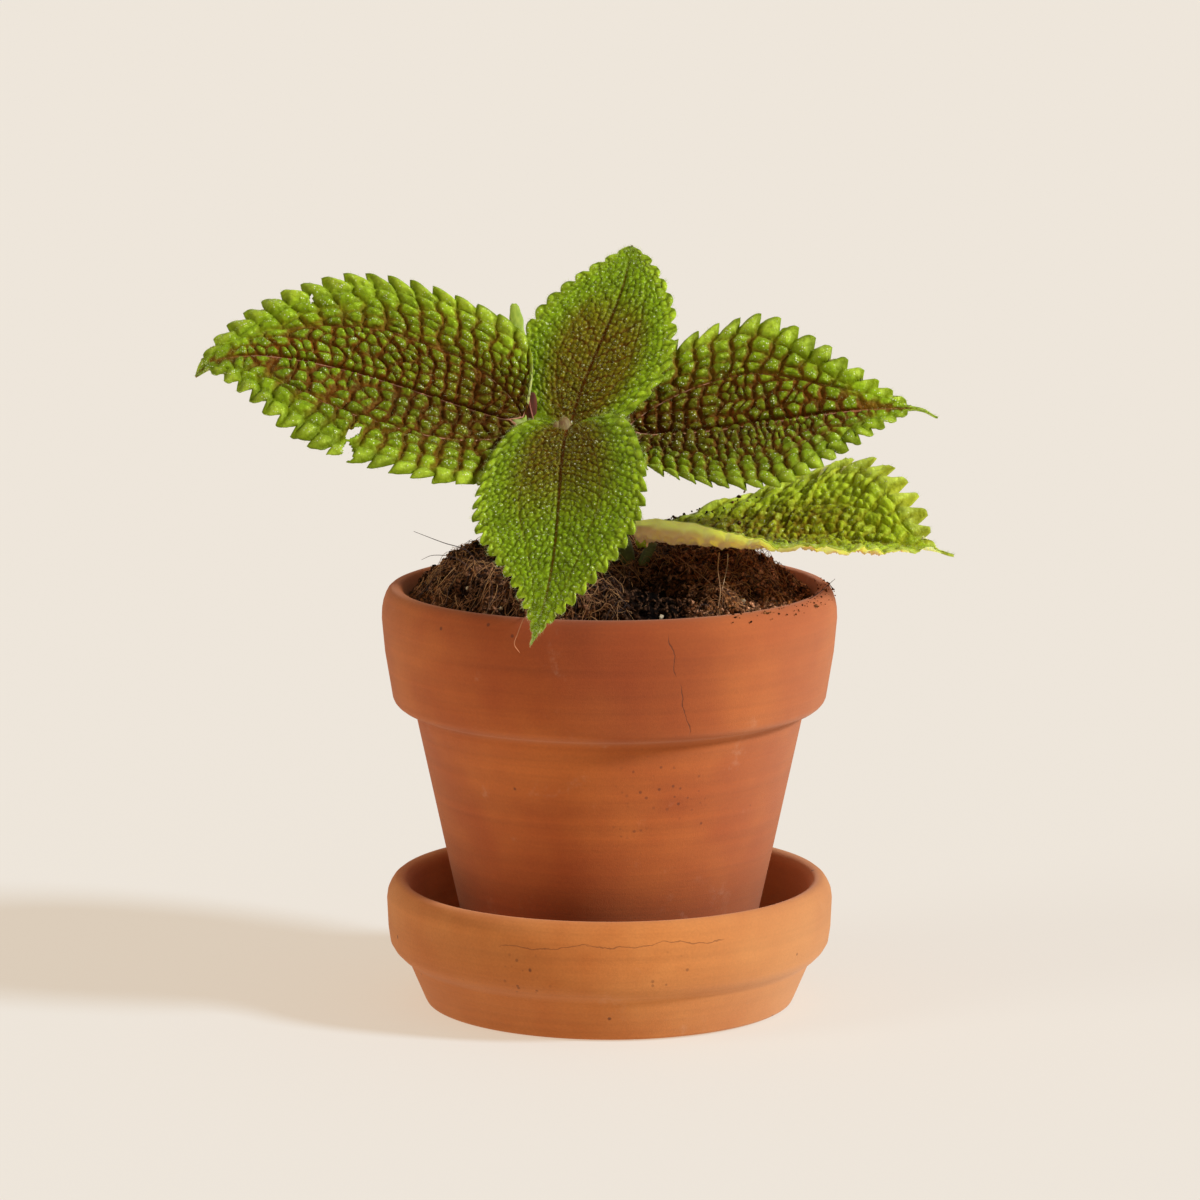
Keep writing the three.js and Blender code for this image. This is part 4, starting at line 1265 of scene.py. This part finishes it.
def leafUnderside(name, look):
    # the dull felted back of the leaf: pale green, flushed brown along the ribs
    material, tree, shader = startMaterial(name)
    valley, _, rim = layerParts(tree, "form")[0]
    toMid = layerParts(tree, "ribs")[0][0]
    colour = addNode(tree, "Mix", {0: valley, 6: look["back"], 7: look["net"]}, data_type="RGBA")
    away = rim if look["flushBy"] == "rim" else addNode(tree, "Math", {0: toMid}, operation="ABSOLUTE")
    near = addNode(tree, "MapRange",
                   {0: away, 1: look["flushFrom"], 2: look["flushTo"], 3: look["flushShare"], 4: 0.0},
                   interpolation_type="SMOOTHSTEP")
    colour = addNode(tree, "Mix", {0: near, 6: colour, 7: look["flush"]}, data_type="RGBA")
    # light comes through the thin blade from above, and a painted glow is added to it
    setInputs(tree, shader, {"Base Color": colour, "Roughness": 0.7, "Specular IOR Level": 0.3,
                             "Emission Color": colour, "Emission Strength": look["paintedGlow"],
                             "Subsurface Weight": look["glow"], "Subsurface Radius": (1.0, 1.0, 0.15),
                             "Subsurface Scale": 0.003})
    return material


# what several looks share; the notes stand by the first one
everyLook = {
    "valleyTo": 0.95,
    "sideShare": 0.3,
    "gloss": 0.22, "specular": 0.5, "knobScale": 850.0, "knobRelief": 0.7,
    "back": "#b3b963", "net": "#8f8a45", "flushShare": 0.5, "flushBy": "rib", "flushFrom": 0.6,
    "flushTo": 2.5, "glow": 0.3, "paintedGlow": 0.0,
}

leafLooks = {
    "old": {
        # tops: bumps from margin to middle, then the valleys between them
        "outer": "#8ca81b", "inner": "#7f9818", "heart": "#62560f", "rim": "#aac034",
        "lowOuter": "#74860a", "lowInner": "#6c300a", "lowHeart": "#521a06", "valleyTo": 0.9,
        "valleyShare": 0.97,
        # main veins
        "vein": "#c27a5c", "veinShare": 0.6, "midLine": 0.19,
        # skin: the share of painted glints
        "glintShare": 0.85,
        # undersides, flushed along the ribs or from the rim
        "flush": "#9a6a52",
    },
    "young": {
        "outer": "#7d9915", "inner": "#776e0c", "heart": "#685e0e", "rim": "#9ab224",
        "lowOuter": "#5c6e08", "lowInner": "#5a3004", "lowHeart": "#522802", "valleyShare": 0.92,
        "vein": "#6b2a0a", "veinShare": 0.7, "midLine": 0.36, "sideShare": 0.4,
        "gloss": 0.26, "specular": 0.42, "knobScale": 1250.0, "knobRelief": 0.45, "glintShare": 0.75,
        "flush": "#a07058",
    },
    "pale": {
        "outer": "#b0c42a", "inner": "#a0a41c", "heart": "#7c7a1a", "rim": "#cad850",
        "lowOuter": "#9c9e16", "lowInner": "#7c5a0c", "lowHeart": "#5c3a08", "valleyShare": 0.9,
        "vein": "#8d6a40", "veinShare": 0.5, "midLine": 0.3,
        "glintShare": 0.55,
        "back": "#f0f27c", "net": "#e8de7c", "flush": "#c48668", "flushShare": 0.9, "flushBy": "rim",
        # the pale back also has a painted glow
        "flushFrom": 0.55, "flushTo": 1.02, "glow": 1.0, "paintedGlow": 0.17,
    },
}

leafSkins = {}
for kind, own in leafLooks.items():
    look = {**everyLook, **own}
    leafSkins[kind] = (leafTop("leaf skin, " + kind, look), leafUnderside("leaf back, " + kind, look))


def hairMaterial():
    # clear bristles of one row of cells: almost white where the light catches them
    material, tree, shader = startMaterial("leaf hairs")
    setInputs(tree, shader, {"Base Color": "#c2cc7c", "Roughness": 0.4})
    return material


hairSkin = hairMaterial()
hairs = {
    "length": (0.4, 1.0),
    "radius": 0.02,
    "atRim": 0.28,           # share of them that fringe the margin
}


def bristles(name, slot, places, ways, long, seed):
    # one thin three-sided bristle at each place, along its way
    model = addShape(bpy.ops.mesh.primitive_cone_add, "bristle", vertices=3, radius1=1, radius2=0.25,
                     depth=1, location=(0, 0, 0.5))
    bpy.ops.object.transform_apply(location=True)
    sizes = np.stack([np.full(len(places), hairs["radius"])] * 2 + [long], 1)
    piece = copiesOf(model, name, places - 0.05 * ways, axesAlong(ways, seed), sizes)
    finish(piece, hairSkin, slot)


def makeHairs(name, seed, spots, normals, u, v):
    # upright on the face, leaning outward at the margin
    n = np.arange(leaves[name]["hairs"])
    inner = np.flatnonzero((u > 0.02) & (np.abs(v) < 0.97))
    border = np.flatnonzero((np.abs(v) > 0.985) & (u > 0.02))
    atRim = hashed(n, seed + 70) < hairs["atRim"]
    pickInner = inner[(hashed(n, seed + 71) * len(inner)).astype(int)]
    pickRim = border[(hashed(n, seed + 72) * len(border)).astype(int)]
    pick = np.where(atRim, pickRim, pickInner)
    spread = threeHashed(n, seed + 73) - 0.5
    outward = unit(spots[pick] - spots.mean(0))
    ways = normals[pick].astype(float) * np.where(atRim, 0.25, 1.0)[:, None]
    ways = unit(ways + spread * 1.1 + outward * np.where(atRim, 0.9, 0.1)[:, None])
    long = mix(*hairs["length"], hashed(n, seed + 76))
    bristles(name.replace("leaf", "hairs"), "leaf", spots[pick], ways, long, seed)


for order, name in enumerate(leaves):
    spots, normals, u, v = makeBlade(name, order + 1)
    makeHairs(name, order + 1, spots, normals, u, v)
    print(name, "ready")


leafDust = {
    # soil splashed on the lower leaf, near its foot
    "count": 70,
    "along": (0.05, 0.3),
    "across": (0.3, 0.97),
    "sizes": (0.2, 0.55),
}


def makeLeafCrumbs():
    n = np.arange(leafDust["count"])
    u = mix(*leafDust["along"], hashed(n, 111) ** 1.4)
    v = -mix(*leafDust["across"], hashed(n, 112))
    places = bladePoints(leaves["leaf_lower"], u, v, 0, 0.5, 0)
    scatterCrumbs("lower_leaf_crumbs", places, leafDust["sizes"], 115,
                  pottingMix("leaf crumbs", "#2b160a", "#5a3a20", "#7a5a38"))


makeLeafCrumbs()


stem = {
    "path": [(5.5, 3, 78), (4.2, -0.8, 104), (2.6, -3.6, 112), (-1.2, -8.4, 121.5), (-6, -13.4, 130.5),
             (-9.4, -16.4, 137.2)],
    "radius": (2.2, 1.6),
    "lowerPath": [(4.9, 0.6, 96), (6.9, -1.6, 101), (7.7, -2.8, 105), (10.2, -3.8, 110.8)],
    "lowerRadius": (1.5, 1.2),
    "stalks": [
        ("leaf_left", (-5.4, -12.9, 129.4), 6.5, (1.5, 1.15)),
        ("leaf_right", (-5.4, -12.9, 129.4), 4.5, (1.5, 1.15)),
        ("leaf_back", (-9.1, -16.2, 136.6), 1.6, (1.2, 0.95)),
        ("leaf_front", (-9.1, -16.2, 136.6), 1.8, (1.2, 1)),
    ],
    "bud": [
        # foot, tip and half width of each scale
        ((-9.4, -17.4, 135.2), (-10.6, -19.4, 142.6), 2.5),
        ((-10.8, -18.4, 135), (-12.4, -19.6, 141.6), 1.5),
    ],
    "budHairs": 160,
    "hairs": 500,
    "hairsFrom": 106,
    "scale": {
        "middle": (-18.7, -11.4, 142.2), "half": (1.6, 0.4, 5.4), "lean": -9,
        "rib": [(-18.9, -12, 146.6), (-18.5, -12, 144), (-17.8, -12, 141.2), (-17.0, -12, 138.4)],
    },
    "stipule": {
        "path": [(-20.4, -13, 139.6), (-19.6, -10.4, 145.4), (-20.1, -7.4, 152.4),
                 (-21.4, -3.8, 160.6), (-22.4, -1.6, 167.2)],
        "wide": 1.55, "thick": 0.35,
    },
    "veins": {
        # side: 0 the midrib, -1 and 1 the side veins; then how far along the blade each shows
        "leaf_left": [(0, 0.78), (-1, 0.52), (1, 0.14)],
        "leaf_right": [(0, 0.72), (-1, 0.36)],
    },
    "fan": [
        [(0.004, 0.0), (0.008, 0.2), (0.012, 0.42), (0.018, 0.6)],
        [(0.004, 0.0), (0.008, -0.25), (0.012, -0.5)],
    ],
    "thread": (0.17, 0.07),
    "slot": "stem",
}


def stemSkin():
    # soft green stem under a felt of short hairs: dark olive low down, lighter olive above
    material, tree, shader = startMaterial("stem skin")
    spot = addNode(tree, "TexCoord", {}).outputs["Object"]
    axes = addNode(tree, "SeparateXYZ", {0: spot})
    high = addNode(tree, "MapRange", {0: axes.outputs[2], 1: 0.112, 2: 0.132})
    colour = addNode(tree, "Mix", {0: high, 6: "#5c6228", 7: "#9aa64a"}, data_type="RGBA")
    fleck = addNode(tree, "TexNoise", {"Vector": spot, "Scale": 700.0, "Detail": 3.0})
    shade = addNode(tree, "MapRange", {0: fleck, 1: 0.3, 2: 0.7, 3: 0.75, 4: 1.2})
    colour = addNode(tree, "VectorMath", {0: colour, 3: shade}, operation="SCALE")
    setInputs(tree, shader, {"Base Color": colour, "Roughness": 0.6})
    return material


def makeStem():
    tubes = []
    line = catmullRom(stem["path"], 12)
    tubes.append(tubeAlong(line, np.linspace(*stem["radius"], len(line)), 20))
    line = catmullRom(stem["lowerPath"], 12)
    tubes.append(tubeAlong(line, np.linspace(*stem["lowerRadius"], len(line)), 16))
    for name, start, reach, radius in stem["stalks"]:
        leaf = leaves[name]
        base, tip = np.array(leaf["base"], float), np.array(leaf["tip"], float)
        way = unit((tip - base) / 3 + np.array(leaf["rise1"]))
        end = base - 0.7 * way - 0.75 * unit(np.array(leaf["face1"], float))
        lead = end - way * reach
        t = np.linspace(0, 1, 22)[:, None]
        s = 1 - t
        line = s ** 3 * np.array(start) + 3 * s ** 2 * t * lead + 3 * s * t * t * lead + t ** 3 * end
        tubes.append(tubeAlong(line, np.linspace(*radius, len(line)), 14))
    piece = joinedTubes("stem_and_stalks", tubes)
    finish(piece, stemSkin(), stem["slot"], "stem")
    print("stem ready")


def papery(name, hexColour, streak):
    # thin dry scale: soft, matt and finely streaked lengthwise
    material, tree, shader = startMaterial(name)
    spot = addNode(tree, "TexCoord", {}).outputs["Object"]
    drawn = addNode(tree, "VectorMath", {0: spot, 1: (1500, 1500, 260)}, operation="MULTIPLY")
    streaks = addNode(tree, "TexNoise", {"Vector": drawn, "Scale": 1.0, "Detail": 3.0})
    share = addNode(tree, "MapRange", {0: streaks, 1: 0.35, 2: 0.65})
    colour = addNode(tree, "Mix", {0: share, 6: hexColour, 7: streak}, data_type="RGBA")
    setInputs(tree, shader, {"Base Color": colour, "Roughness": 0.7})
    return material


def makeBud():
    # two scales fold over the growing tip between the young leaves
    t = np.linspace(0, 1, 16)
    tubes = []
    for low, high, wide in stem["bud"]:
        line = mix(np.array(low), np.array(high), t[:, None])
        line[:, 0] += 0.25 * np.sin(7 * t)
        tubes.append(tubeAlong(line, 0.3 + wide * np.sin(np.pi * (0.2 + 0.77 * t)) ** 0.9, 16))
    piece = joinedTubes("bud_scales", tubes)
    finish(piece, papery("bud scales", "#87763a", "#74502a"), stem["slot"])
    n = np.arange(stem["budHairs"])
    places = np.vstack([tube[0] for tube in tubes])
    middle = places.mean(0)
    pick = places[(hashed(n, 91) * len(places)).astype(int)]
    spread = threeHashed(n, 92) - 0.5
    ways = unit(unit(pick - middle) + 0.6 * spread)
    bristles("bud_hairs", stem["slot"], pick, ways, mix(*hairs["length"], hashed(n, 95)), 96)


def makeScale():
    # the dark red scale that stands behind the left leaf's foot, with its pink rib
    scale = stem["scale"]
    piece = addShape(bpy.ops.mesh.primitive_uv_sphere_add, "foot_scale", segments=24, ring_count=14,
                     radius=1)
    editAll()
    bpy.ops.transform.resize(value=[side * mm for side in scale["half"]])
    bpy.ops.transform.rotate(value=math.radians(scale["lean"]), orient_axis="Y", center_override=(0, 0, 0))
    bpy.ops.transform.translate(value=[c * mm for c in scale["middle"]])
    bpy.ops.object.mode_set(mode="OBJECT")
    bpy.ops.object.shade_smooth()
    finish(piece, papery("foot scale", "#4c1a00", "#6a2a04"), stem["slot"])
    line = catmullRom(scale["rib"], 8)
    piece = joinedTubes("foot_scale_rib", [tubeAlong(line, np.full(len(line), 0.16), 6)])
    finish(piece, plainFibre("foot scale rib", "#c4775e", 0.5), stem["slot"])


def makeStipule():
    # a pale strap with a round tip that rises between the left leaf and the back leaf
    strap = stem["stipule"]
    piece = addShape(bpy.ops.mesh.primitive_grid_add, "foot_stipule", x_subdivisions=8,
                     y_subdivisions=40, size=2)
    mesh = piece.data
    co = vectorsOf(mesh.vertices, "co").astype(float)
    line = catmullRom(strap["path"], 12)
    share = np.linspace(0, 1, len(line))
    t = (co[:, 1] + 1) / 2
    middle = np.stack([np.interp(t, share, line[:, k]) for k in range(3)], 1)
    roundTip = np.sqrt(1 - np.clip((t - 0.86) / 0.145, 0, 1) ** 2)
    wide = strap["wide"] * (0.55 + 0.45 * smooth(0.1, 0.7, t)) * roundTip
    across = co[:, 0]
    wave = 0.12 * np.sin(t * 46) * np.abs(across) ** 3
    spots = middle + np.stack([across * wide + wave * np.sign(across), 0.3 * across ** 2, 0 * t], 1)
    moveVerts(mesh, spots)
    applyModifier(piece, "SOLIDIFY", thickness=strap["thick"] * mm, offset=-1)
    bpy.ops.object.shade_smooth()
    finish(piece, papery("stipule", "#a9bc3a", "#8ba327"), stem["slot"])


def makeVeins():
    # the raised pink thread in the trough of each main vein, and the small fan at the left leaf's foot
    skin = plainFibre("leaf vein, pink", "#c68a66", 0.5)
    for name, runs in stem["veins"].items():
        leaf = leaves[name]
        paths = []
        for side, reach in runs:
            u = np.linspace(bladeRules["firstRow"], reach, 90)
            paths.append((u, side * lateralLine(u) * smooth(0, 0.01, u)))
        if name == "leaf_left":
            for points in stem["fan"]:
                line = catmullRom([(u, v, 0) for u, v in points], 8)
                paths.append((line[:, 0], line[:, 1]))
        tubes = []
        for u, v in paths:
            wide = outline(leaf, u, (v >= 0).astype(int))
            sink = leaf["swell"] * np.minimum(1, wide * 1.6) * smooth(0, 0.02, u)
            places = bladePoints(leaf, u, v, 0, 0.3 - 0.56 * sink, 0)
            tubes.append(tubeAlong(places, np.linspace(*stem["thread"], len(places)), 5))
        piece = joinedTubes(name + "_veins", tubes)
        finish(piece, skin, "leaf")


def makeStemHairs():
    # on the part of the stem that shows above the soil
    mesh = bpy.data.objects["stem_and_stalks"].data
    co = vectorsOf(mesh.vertices, "co") / mm
    normals = vectorsOf(mesh.vertex_normals, "vector").astype(float)
    n = np.arange(stem["hairs"])
    shown = np.flatnonzero(co[:, 2] > stem["hairsFrom"])
    pick = shown[(hashed(n, 97) * len(shown)).astype(int)]
    ways = unit(normals[pick] + 0.5 * (threeHashed(n, 98) - 0.5))
    bristles("stem_hairs", stem["slot"], co[pick], ways, mix(*hairs["length"], hashed(n, 101)), 102)


makeStem()
makeBud()
makeScale()
makeStipule()
makeVeins()
makeStemHairs()
